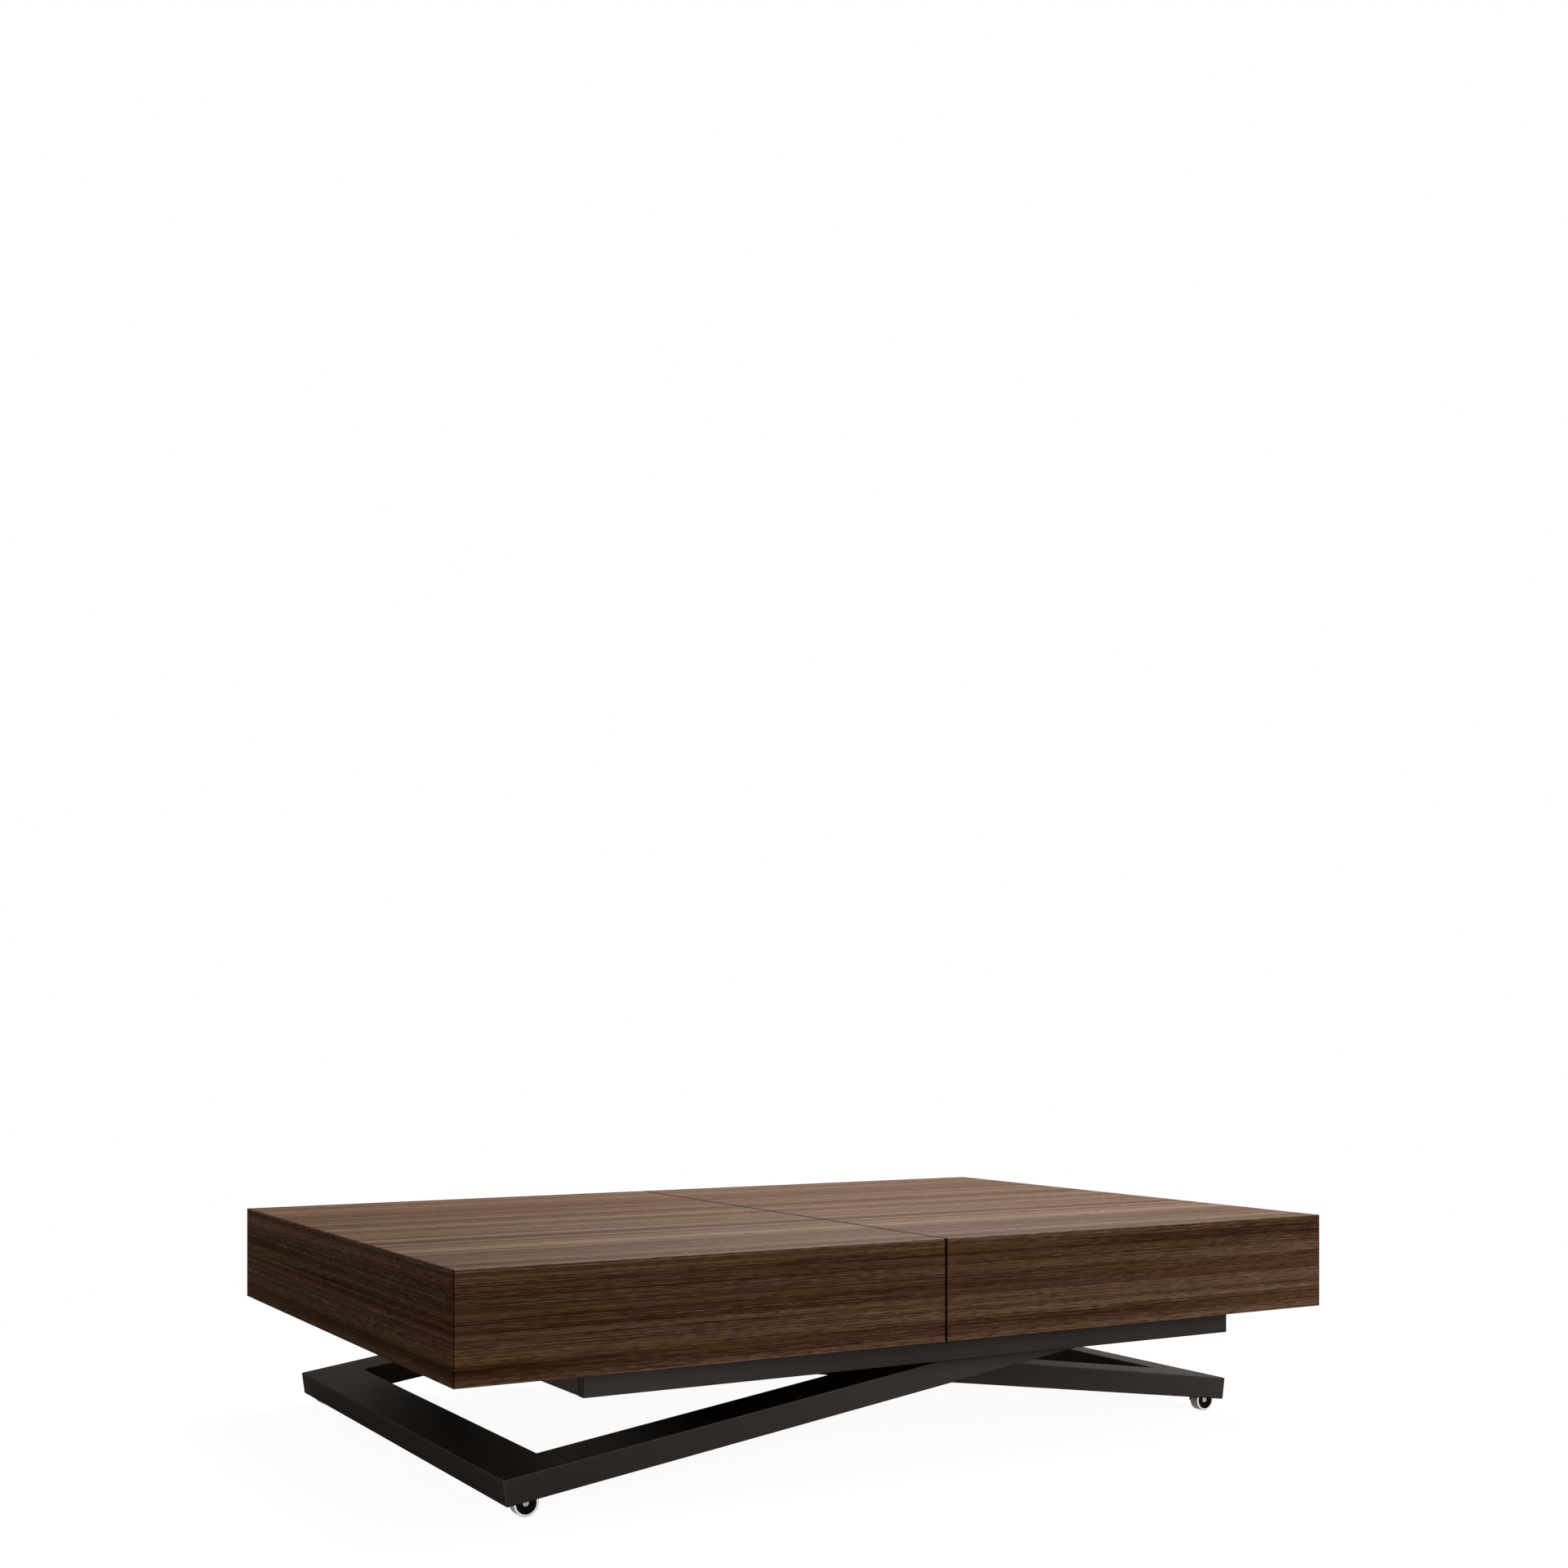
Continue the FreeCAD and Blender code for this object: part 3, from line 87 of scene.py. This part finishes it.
class Shader:
    """The nodes of a material, or of the world, made by calls that return their sockets."""

    def __init__(self, owner):
        self.owner = owner
        owner.use_nodes = True
        self.tree = owner.node_tree
        self.tree.nodes.clear()

    def feed(self, socket, value):
        if isinstance(value, Value):
            self.tree.links.new(value.socket, socket)
        elif socket.type == "RGBA":
            socket.default_value = (*value, 1)
        else:
            socket.default_value = value

    def node(self, kind, inputs=None, settings=None, output=0):
        item = self.tree.nodes.new("ShaderNode" + kind)
        for key, value in (settings or {}).items():
            setattr(item, key, value)
        for key, value in (inputs or {}).items():
            self.feed(item.inputs[key], value)
        return None if output is None else Value(self, item.outputs[output])

    def ramp(self, factor, stops):
        """Colours at their positions, blended in between."""
        colour = self.node("ValToRGB", {0: factor})
        elements = colour.socket.node.color_ramp.elements
        while len(elements) < len(stops):
            elements.new(1)
        for element, (position, tone) in zip(elements, stops):
            element.position = position
            element.color = (*tone, 1)
        return colour

    def mix(self, factor, first, second, blend="MIX"):
        settings = {"data_type": "RGBA", "blend_type": blend}
        return self.node("Mix", {0: factor, 6: first, 7: second}, settings, output=2)

    def step(self, value, low, high, start=0.0, end=1.0):
        """From start at low to end at high, smooth in between."""
        inputs = {0: value, 1: low, 2: high, 3: start, 4: end}
        return self.node("MapRange", inputs, {"interpolation_type": "SMOOTHSTEP"})

    def split(self, vector):
        return [self.node("SeparateXYZ", {0: vector}, output=axis) for axis in range(3)]

    def vector(self, x, y, z):
        return self.node("CombineXYZ", {0: x, 1: y, 2: z})

    def point(self):
        """The shaded point's place in the object's own frame."""
        return self.node("TexCoord", output="Object")

    def outward(self):
        """The surface's normal in the object's own frame, along X, Y and Z."""
        return self.split(self.node("TexCoord", output="Normal"))

    def noise(self, vector, scale=1.0, detail=2.0, roughness=0.5):
        inputs = {"Vector": vector, "Scale": scale, "Detail": detail, "Roughness": roughness}
        return self.node("TexNoise", inputs)

    def streaks(self, along, across, seed, detail=1):
        """Noise drawn out along a grain. Both places come scaled to the streaks' size."""
        return self.noise(self.vector(along, across, seed), detail=detail)

    def bump(self, height, strength, distance):
        return self.node("Bump", {"Height": height, "Strength": strength, "Distance": distance})

    def rays(self):
        """Whether the camera or a glass looks here, and whether a mirror does."""
        camera = self.node("LightPath", output="Is Camera Ray")
        glass = self.node("LightPath", output="Is Transmission Ray")
        mirror = self.node("LightPath", output="Is Glossy Ray")
        return camera.or_more(glass), mirror

    def close(self, shader, kind="OutputMaterial"):
        self.node(kind, {"Surface": shader}, output=None)
        return self.owner

    def surface(self, colour, roughness, **others):
        """Close the material with one principled shader; the others' names use underscores."""
        inputs = {"Base Color": colour, "Roughness": roughness}
        inputs.update({name.replace("_", " "): value for name, value in others.items()})
        return self.close(self.node("BsdfPrincipled", inputs))


def finish_shader(name):
    return Shader(bpy.data.materials.new(name))


def shade(colour, share):
    return [share * value for value in colour]


def grey(level):
    return (level, level, level)


VENEER_TONES = [
    (0.14, (0.046, 0.013, 0.004)),
    (0.32, (0.094, 0.038, 0.016)),
    (0.50, (0.158, 0.082, 0.044)),
    (0.68, (0.250, 0.142, 0.086)),
    (0.86, (0.330, 0.200, 0.128)),
]
REDDISH_WOOD = (0.190, 0.076, 0.044)
GOLDEN_WOOD = (0.210, 0.114, 0.044)
DARK_LINE = (0.060, 0.024, 0.012)
OPEN_PORE = (0.040, 0.015, 0.008)
JOINT_AND_GAP_SHADE = (0.026, 0.006, 0.002)
SWAY_WIDTH = 0.003
THREAD_ANGLE = 2500
THREAD_DRIFT = 10
BOX_HALF_LONG = 0.6300
BOX_HALF_WIDE = 0.4120
GLUE_INNER = 0.0014
GLUE_OUTER = 0.0007
# The seam's painted shade sits this far right of the gap, on the shaded edge of the right half.
SEAM_MIDDLE = 0.0008
TOP_SEAM_HALF = 0.0030
SIDE_SEAM_HALF = 0.0015
SEAM_BLUR = 0.0009


def veneer_tone(shader, along, across):
    """The veneer's light and dark, from broad zones to short hatching; also the hatching and the bands."""
    zones = shader.streaks(along * 0.15, across * 15, 8.8)
    bands = shader.streaks(along * 0.2, across * 62, 1.7)
    rings = shader.streaks(along * 0.5, across * 160, 5.2)
    drift = shader.streaks(along * 0.6, across * 260, 15.8, detail=0)
    breaks = shader.streaks(along * 14, across * 300, 6.6, detail=0)
    wave = (across * THREAD_ANGLE + drift * THREAD_DRIFT).sine()
    threads = wave * shader.step(breaks, 0.3, 0.7, 0.2, 1.4)
    hatch = shader.streaks(along * 60, across * 900, 9.4, detail=0)
    tone = zones * 0.50 + bands * 1.25 + rings * 0.50 + threads * 0.21 + hatch * 0.45 - 0.86
    return tone, hatch, bands


def joint_lines(shader, x, y, seam_half):
    """The glue lines at the box's upright corners, and painted shade along the seam between its halves."""
    at_end = shader.step(x.size(), BOX_HALF_LONG - GLUE_INNER, BOX_HALF_LONG - GLUE_OUTER)
    at_side = shader.step(y.size(), BOX_HALF_WIDE - GLUE_INNER, BOX_HALF_WIDE - GLUE_OUTER)
    seam = shader.step((x - SEAM_MIDDLE).size(), seam_half, seam_half + SEAM_BLUR, 1.0, 0.0)
    return (at_end * at_side).or_more(seam)


def walnut(name, grain, gloss=0.12, board_edge=True):
    """Straight-grained dark walnut veneer. The grain runs along X, along Y, or round the box."""
    shader = finish_shader(name)
    x, y, z = shader.split(shader.point())
    along, across = {"lengthwise": (x, y), "crosswise": (y, x), "round": (x - y, z)}[grain]
    sway = shader.streaks(along * 0.9, across * 6, 3.1, detail=2) - 0.5
    across = across + sway * SWAY_WIDTH
    tone, hatch, bands = veneer_tone(shader, along, across)
    colour = shader.ramp(tone, VENEER_TONES)
    warmth = shader.streaks(along * 1.5, across * 110, 12.6)
    colour = shader.mix(shader.step(warmth, 0.53, 0.66) * 0.40, colour, REDDISH_WOOD)
    colour = shader.mix(shader.step(warmth, 0.33, 0.46, 0.45, 0.0), colour, GOLDEN_WOOD)
    lines = shader.streaks(along * 0.3, across * 170, 27.4)
    colour = shader.mix(shader.step(lines, 0.57, 0.66) * 0.45, colour, DARK_LINE)
    pores = shader.step(shader.streaks(along * 70, across * 900, 21.3, detail=0), 0.54, 0.62)
    colour = shader.mix(pores * 0.4, colour, OPEN_PORE)
    if board_edge:
        seam_half = TOP_SEAM_HALF if grain == "lengthwise" else SIDE_SEAM_HALF
        # Darken the corner glue lines, and paint shade along the seam between the two halves.
        colour = shader.mix(joint_lines(shader, x, y, seam_half) * 0.95, colour, JOINT_AND_GAP_SHADE)
    return shader.surface(
        colour,
        0.46 + pores * 0.12 + bands * 0.06,
        Specular_IOR_Level=gloss,
        Normal=shader.bump(hatch * 0.6 - pores, 0.12, 0.0004),
    )


BIRCH_FACE = [
    (0.34, (0.44, 0.29, 0.165)),
    (0.50, (0.56, 0.40, 0.245)),
    (0.68, (0.66, 0.50, 0.335)),
]
BIRCH_PLIES = [
    (0.40, (0.30, 0.19, 0.105)),
    (0.60, (0.58, 0.43, 0.27)),
]
PLY_SCALE = 720


def birch(name, thin, grain):
    """Lacquered birch plywood: rotary-cut faces, and edges that show the plies."""
    shader = finish_shader(name)
    axes = shader.split(shader.point())
    along = axes[grain]
    across = axes[3 - grain - thin]
    wander = shader.streaks(along * 2, across * 7, 2.2, detail=3) - 0.5
    figure = shader.streaks(along * 1.3, (across + wander * 0.05) * 26, 4.4, detail=3)
    flecks = shader.streaks(along * 22, across * 420, 8.0)
    face = shader.ramp(figure * 0.75 + flecks * 0.25, BIRCH_FACE)
    layers = shader.noise(shader.vector(0.0, 0.0, axes[thin] * PLY_SCALE), detail=0)
    on_edge = shader.step(shader.outward()[thin].size(), 0.3, 0.7, 1.0, 0.0)
    return shader.surface(
        shader.mix(on_edge, face, shader.ramp(layers, BIRCH_PLIES)),
        0.40 + flecks * 0.15 + on_edge * 0.15,
        Normal=shader.bump(flecks, 0.12, 0.0003),
    )


TUBE_END = -0.45
UNDER_BOX = -0.25
CUT_LINE_HALF = 0.0005
CUT_LINE_BLUR = 0.0009
SATIN = 0.68
SATIN_ROUGHNESS = 0.34


def tube_faces(shader, lean):
    """How far a face looks along the tube, and whether it's a top, an upper edge or a lower edge."""
    x, y, z = shader.outward()
    along = (x * math.cos(lean) - z * math.sin(lean)).size()
    upward = (x * math.sin(lean) + z * math.cos(lean)).size()
    rounding = shader.step(along.or_more(upward).or_more(y.size()), 0.86, 0.985, 1.0, 0.0)
    lower = shader.step(z, -0.3, -0.1, 1.0, 0.0)
    top = shader.step(upward, 0.8, 0.97) * shader.step(z, 0.0, 0.2)
    return along, top, rounding * (1 - lower), rounding * lower


def cut_end(shader, y, joint, along):
    """A dark line on an end face, joint away from the middle, and a duller face beyond it."""
    beyond = y.size() - joint
    line = shader.step(beyond.size(), CUT_LINE_HALF, CUT_LINE_HALF + CUT_LINE_BLUR, 0.8, 0.0)
    dull = shader.step(beyond, 0.0, CUT_LINE_HALF, 0.0, 0.35)
    return line.or_more(dull) * shader.step(along, 0.9, 0.99)


def powder_coat(
    name, tint, roughness, lean=0.0, end_face_light=1.0, edge_highlight=2.4, left=1.0, right=1.0, joint=0.0, covered=1.0
):
    """Dull powder coat of a tube that slopes by lean: satin on top, a painted highlight on its upper edges,
    and painted shade on its top faces and lower edges.

    The end faces are painted lighter by end_face_light, as painted light, and the highlighted edges by
    edge_highlight. As painted light and shade along the tube, the tint's share goes from left at the tube's
    left end to right at the middle of the box. The satin's share goes down to covered under the box, as
    painted shade on its reflection. A joint marks the end faces, that far from the middle.
    """
    shader = finish_shader(name)
    point = shader.point()
    x, y = shader.split(point)[:2]
    along, top, upper_edge, lower_edge = tube_faces(shader, lean)
    cloud = shader.noise(point, scale=7, detail=3)
    peel = shader.noise(point, scale=850, detail=1)
    specks = shader.step(shader.noise(point, scale=2600, detail=0), 0.62, 0.74)
    painted_shade_and_joint = shade(tint, 0.12)
    highlight_tint = shade(tint, edge_highlight)
    colour = shader.mix(shader.step(cloud, 0.3, 0.7), shade(tint, 0.92), tint)
    colour = shader.mix(specks * 0.25, colour, shade(tint, 1.5))
    # Painted light: the end faces are tinted lighter, standing in for the light they catch.
    colour = shader.mix(shader.step(along, 0.8, 0.97), colour, shade(tint, end_face_light))
    # Painted shade: the top faces are darkened for the shade of the box above them.
    colour = shader.mix(top, colour, painted_shade_and_joint)
    # Painted highlight along the upper edges, lighter still on the end faces.
    highlight_colour = shader.mix(shader.step(along, 0.3, 0.6), highlight_tint, shade(highlight_tint, end_face_light))
    colour = shader.mix(upper_edge * 0.75, colour, highlight_colour)
    # Painted shade along the lower edges, where contact shadows fall.
    colour = shader.mix(lower_edge * 0.85, colour, painted_shade_and_joint)
    # Painted light and shade along the tube: the tint is scaled from its left end to the middle of the box.
    share = shader.step(x, TUBE_END, 0.0, left, right)
    colour = shader.mix(1.0, colour, shader.vector(share, share, share), blend="MULTIPLY")
    if joint:
        colour = shader.mix(cut_end(shader, y, joint, along), colour, painted_shade_and_joint)
    return shader.surface(
        colour,
        roughness + (cloud - 0.5) * 0.16 + (peel - 0.5) * 0.06,
        Specular_IOR_Level=0.0,
        # The satin on the top faces fades under the box, as painted shade on its reflection.
        Coat_Weight=top * SATIN * shader.step(x, TUBE_END, UNDER_BOX, 1.0, covered),
        Coat_Roughness=SATIN_ROUGHNESS,
        Normal=shader.bump(peel, 0.10, 0.0002),
    )


MARK_SCALE = 2600
MARK_LENGTH_SCALE = 40


def machined(name, colour, roughness, axis):
    """Bare or plated metal with fine marks that run round, or along, one axis."""
    shader = finish_shader(name)
    point = shader.point()
    axes = shader.split(point)
    first, second = [axes[index] for index in range(3) if index != axis]
    place = shader.vector(axes[axis] * MARK_SCALE, first * MARK_LENGTH_SCALE, second * MARK_LENGTH_SCALE)
    marks = shader.noise(place, detail=2)
    cloud = shader.noise(point, scale=60, detail=2)
    return shader.surface(
        shader.mix(shader.step(cloud * 0.6 + marks * 0.4, 0.35, 0.65), shade(colour, 0.72), colour),
        roughness + marks * 0.14 + cloud * 0.08,
        Metallic=1.0,
        Normal=shader.bump(marks, 0.06, 0.0001),
    )


RIB_SCALE = 5200
TREAD_SHOULDER = (0.50, 0.49, 0.48)


def tread(name, dull, bright):
    """Grey-brown tread with fine ribs and dust, between bright shoulders at its two faces."""
    shader = finish_shader(name)
    point = shader.point()
    shoulder = shader.step(shader.outward()[ALONG_Y].size(), 0.25, 0.5)
    ribs = (shader.split(point)[ALONG_Y] * RIB_SCALE).sine() * 0.5 + 0.5
    dust = shader.noise(point, scale=420, detail=3)
    colour = shader.mix(ribs * 0.35 + shader.step(dust, 0.45, 0.75) * 0.45, dull, bright)
    return shader.surface(
        shader.mix(shoulder, colour, TREAD_SHOULDER),
        0.46 + dust * 0.2 - shoulder * 0.2,
        Metallic=0.35 + shoulder * 0.35,
        Normal=shader.bump(ribs + dust, 0.25, 0.0003),
    )


def moulded(name, colour, roughness, gloss=0.5):
    """Moulded plastic with a fine matt texture and slight clouding."""
    shader = finish_shader(name)
    point = shader.point()
    grit = shader.noise(point, scale=1900, detail=1)
    cloud = shader.noise(point, scale=35, detail=2)
    return shader.surface(
        shader.mix(cloud, shade(colour, 0.86), colour),
        roughness + grit * 0.1,
        Specular_IOR_Level=gloss,
        Normal=shader.bump(grit, 0.12, 0.0002),
    )


def felt():
    """Dense dark felt with a matted fibre pile."""
    shader = finish_shader("felt_pile")
    point = shader.point()
    pile = shader.noise(point, scale=900, detail=4, roughness=0.7)
    tufts = shader.noise(point, scale=150, detail=2)
    return shader.surface(
        shader.mix(pile * 0.6 + tufts * 0.4, (0.020, 0.020, 0.021), (0.075, 0.074, 0.075)),
        0.95,
        Sheen_Weight=0.3,
        Normal=shader.bump(pile, 0.6, 0.0008),
    )


def enamel():
    """Gloss black enamel of the gas cylinders."""
    shader = finish_shader("gas_enamel")
    point = shader.point()
    cloud = shader.noise(point, scale=18, detail=3)
    orange_peel = shader.noise(point, scale=500, detail=1)
    return shader.surface(
        shader.mix(cloud, (0.010, 0.010, 0.011), (0.024, 0.024, 0.025)),
        0.16 + cloud * 0.16,
        Normal=shader.bump(orange_peel, 0.05, 0.0002),
    )


TUBE_COAT = (0.106, 0.087, 0.081)
FRAME_COAT = (0.115, 0.098, 0.092)
ZINC = (0.62, 0.62, 0.60)
RAIL_JOINT = 0.381
LEG_LEAN = math.radians(7.94)

FINISHES = {
    "walnut_top": walnut("walnut_top_veneer", "lengthwise"),
    "walnut_side": walnut("walnut_side_veneer", "round", gloss=0.01),
    "walnut_end": walnut("walnut_end_veneer", "round", gloss=0.002),
    "tray_wood": birch("tray_floor_birch", ALONG_Z, ALONG_X),
    "black_tube": powder_coat("leg_coat", TUBE_COAT, 0.48),
    # The frame's coat: painted light on its end faces and edges, and painted shade towards the middle.
    "black_frame": powder_coat(
        "frame_coat", FRAME_COAT, 0.50, end_face_light=1.85, edge_highlight=1.8, right=0.65, joint=RAIL_JOINT
    ),
    "zinc_steel": machined("zinc_plate", ZINC, 0.26, ALONG_Y),
    "rim_metal": machined("turned_rim", (0.86, 0.86, 0.85), 0.14, ALONG_Y),
    "tyre_rubber": tread("wheel_tread", (0.26, 0.23, 0.20), (0.42, 0.38, 0.34)),
    "roller_plastic": moulded("roller_acetal", (0.82, 0.82, 0.79), 0.35),
    "slide_steel": machined("slide_sheet", (0.55, 0.56, 0.57), 0.28, ALONG_Z),
    "gas_black": enamel(),
    "rod_chrome": machined("rod_chrome", (0.80, 0.80, 0.80), 0.04, ALONG_X),
    "felt": felt(),
    "glide_plastic": moulded("glide_strip_plastic", (0.74, 0.73, 0.70), 0.3),
}
LEG_FINISHES = {
    # The legs' coats: painted light on the end faces, painted shade towards leg A's left end, satin faded
    # under the box.
    "leg_a": powder_coat(
        "leg_a_coat", TUBE_COAT, 0.48, lean=-LEG_LEAN, end_face_light=1.7, left=0.82, covered=0.1
    ),
    "leg_b": powder_coat("leg_b_coat", TUBE_COAT, 0.48, lean=LEG_LEAN, end_face_light=1.4),
}
OWN_FINISHES = {
    # Painted light: the near-left wheel's tread is coloured lighter for the open light around it.
    "near_left_tyre": tread("near_left_tread_painted_light", (0.34, 0.32, 0.29), (0.90, 0.88, 0.85)),
    "lower_leaf": walnut("leaf_veneer", "crosswise", board_edge=False),
    "upper_leaf": walnut("upper_leaf_veneer", "crosswise", board_edge=False),
    "tray_side_walls": birch("tray_side_birch", ALONG_Y, ALONG_X),
    "tray_end_walls": birch("tray_end_birch", ALONG_X, ALONG_Y),
    "alignment_dowels": birch("dowel_birch", ALONG_Z, ALONG_X),
}


def finish_of(name, kind):
    """A node's own finish, or its leg's, or the one for its kind of material."""
    if kind == "black_tube":
        for leg, finish in LEG_FINISHES.items():
            if name.startswith(leg):
                return finish
    return OWN_FINISHES.get(name, FINISHES[kind])


def dress_solids():
    for name, node in NODES.items():
        for slot in node.material_slots:
            slot.material = finish_of(name, slot.material.name)


def turned(work, profile, centre, axis, steps=48):
    """Turn a profile of (radius, height) pairs about an axis through the centre."""
    axis = Vector(axis).normalized()
    first = axis.orthogonal().normalized()
    second = axis.cross(first)
    rings = []
    for radius, height in profile:
        middle = Vector(centre) + axis * height
        if radius == 0:
            rings.append([work.verts.new(middle)] * steps)
            continue
        ring = []
        for index in range(steps):
            angle = 2 * math.pi * index / steps
            spoke = first * math.cos(angle) + second * math.sin(angle)
            ring.append(work.verts.new(middle + spoke * radius))
        rings.append(ring)
    for low, high in zip(rings, rings[1:]):
        for index in range(steps):
            following = (index + 1) % steps
            corners = [low[index], low[following], high[following], high[index]]
            distinct = list(dict.fromkeys(corners))
            if len(distinct) > 2:
                work.faces.new(distinct)


SHARP_BEND = math.radians(35)


def smooth_to_edges(work):
    """Shade the faces smoothly, but keep the edges between steep neighbours sharp."""
    work.normal_update()
    for face in work.faces:
        face.smooth = True
    for edge in work.edges:
        edge.smooth = not (len(edge.link_faces) == 2 and edge.calc_face_angle() > SHARP_BEND)


def new_object(name, work, finish):
    mesh = bpy.data.meshes.new(name)
    work.to_mesh(mesh)
    work.free()
    mesh.materials.append(finish)
    piece = bpy.data.objects.new(name, mesh)
    bpy.context.scene.collection.objects.link(piece)
    return piece


def new_piece(name, work, body, finish):
    """Make an object from a finished bmesh, and let it ride on a body."""
    smooth_to_edges(work)
    piece = new_object(name, work, finish)
    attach(piece, body)


RIM_RING = 0.0019
RIM_RECESS = 0.0032
SCREW_SPACE = 0.0036
CAP_GAP = 0.0001


def cap_profile(edge):
    """A thin disc with a low dome and a raised lip at its edge, round a hole for the axle screw."""
    return [
        (SCREW_SPACE, 0),
        (SCREW_SPACE, 0.0006),
        (0.0050, 0.0010),
        (edge - 0.0026, 0.0008),
        (edge - 0.0008, 0.0013),
        (edge, 0.0006),
        (edge, 0),
    ]


def hub_caps():
    """Black discs sunk in the wheels' bright rims, round the axle screws."""
    finish = moulded("hub_cap_plastic", (0.010, 0.009, 0.008), 0.42, gloss=0.05)
    for side_name, side in SIDES.items():
        for end_name in ENDS:
            corner = f"{side_name}_{end_name}"
            low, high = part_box(f"{corner}_rim")
            centre = (low + high) / 2
            face = high.y if side > 0 else low.y
            web = face - side * RIM_RECESS
            edge = high.z - centre.z - RIM_RING - CAP_GAP
            work = bmesh.new()
            turned(work, cap_profile(edge), (centre.x, web, centre.z), (0, side, 0))
            new_piece(f"{corner}_hub_cap", work, f"{corner}_wheel", finish)


SCREW_HEAD = [
    (0.0044, 0),
    (0.0042, 0.0007),
    (0.0030, 0.0014),
    (0.0012, 0.0016),
    (0.0010, 0.0006),
    (0, 0.0006),
]
SCREW_INSET = 0.006
SCREW_PLACES = (-0.300, -0.100, 0.100, 0.300)


def tray_screws():
    """Pan heads under the tray floor that hold its two end walls."""
    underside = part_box("tray_floor")[0].z
    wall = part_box("tray_end_walls")[1].x - SCREW_INSET
    heads = bmesh.new()
    for end in ENDS.values():
        for place in SCREW_PLACES:
            turned(heads, SCREW_HEAD, (end * wall, place, underside), (0, 0, -1), steps=24)
    finish = machined("screw_zinc", ZINC, 0.24, ALONG_Z)
    new_piece("tray_screws", heads, "frame_and_tray", finish)


def floor_finish():
    """A pale floor: white to the eye, with the object's soft shadow, and grey to the light."""
    shader = finish_shader("studio_floor")
    point = shader.point()
    x, y = shader.split(point)[:2]
    camera, mirror = shader.rays()
    seen = camera.or_more(mirror * 0.95)
    grain = shader.noise(point, scale=60, detail=2)
    paint = shader.mix(seen, grey(0.50), shader.mix(grain, grey(0.155), grey(0.165)))
    matt = shader.node("BsdfDiffuse", {"Color": paint})
    glow = shader.node("Emission", {"Color": grey(1), "Strength": seen * 0.95})
    near = shader.node("AddShader", {0: matt, 1: glow})
    white = shader.node("Emission", {"Color": grey(1), "Strength": 1.0})
    far = shader.node("MixShader", {0: seen, 1: matt, 2: white})
    radius = ((x * 0.75) ** 2 + y ** 2) ** 0.5
    fading = shader.step(radius, 0.62, 1.5)
    return shader.close(shader.node("MixShader", {0: fading, 1: near, 2: far}))


FLOOR_RINGS = [(0, 0), (1.0, 0), (4.0, 0), (9.0, 0)]


def floor():
    """A flat round sheet, nine metres in radius."""
    work = bmesh.new()
    turned(work, FLOOR_RINGS, (0, 0, 0), (0, 0, 1), steps=64)
    new_object("floor", work, floor_finish())


AMBIENT = 0.25
WARM_WALL = (1, 0.90, 0.83)


def studio_air():
    """White round the camera's view; a soft even light, stronger from the far right in mirrors."""
    world = bpy.data.worlds.new("studio_air")
    bpy.context.scene.world = world
    shader = Shader(world)
    x, y = shader.split(shader.node("TexCoord", output="Generated"))[:2]
    seen, mirror = shader.rays()
    far_wall = shader.step(y, -0.4, 0.5) * shader.step(x, -0.55, 1.0)
    reflected = 0.026 + far_wall * 0.36
    ambient = shader.step(x, -0.6, 0.6, 0.4, 1.6) * AMBIENT
    strength = (1 - seen) * (1 - mirror) * ambient + mirror * reflected + seen
    colour = shader.mix(mirror, grey(1), WARM_WALL)
    light = shader.node("Background", {"Color": colour, "Strength": strength.at_most(1.0)})
    shader.close(light, "OutputWorld")


def panel(name, place, aim, width, power):
    """A square lamp that the camera doesn't see."""
    light = bpy.data.lights.new(name, "AREA")
    light.shape = "SQUARE"
    light.size = width
    light.energy = power
    lamp = bpy.data.objects.new(name, light)
    bpy.context.scene.collection.objects.link(lamp)
    lamp.location = place
    lamp.rotation_euler = (Vector(aim) - Vector(place)).to_track_quat("-Z", "Y").to_euler()
    lamp.visible_camera = False


def lamps():
    panel("overhead_panel", place=(1.05, 0.6, 2.3), aim=(0.30, 0, 0.1), width=2.2, power=80)
    panel("near_right_panel", place=(2.0, -2.0, 1.1), aim=(0.2, 0, 0.15), width=1.2, power=13)


def camera():
    """A level camera at the near left, with its lens shifted up."""
    data = bpy.data.cameras.new("camera")
    data.sensor_width = 36
    data.lens = 42.86
    data.shift_x = 0.027
    data.shift_y = 0.164
    eye = bpy.data.objects.new("camera", data)
    bpy.context.scene.collection.objects.link(eye)
    eye.location = (-1.3282, -2.2584, 0.519)
    eye.rotation_euler = (math.radians(90), 0, math.radians(-29.49))
    bpy.context.scene.camera = eye


bpy.context.scene.view_settings.view_transform = "Standard"
dress_solids()
hub_caps()
tray_screws()
floor()
studio_air()
lamps()
camera()
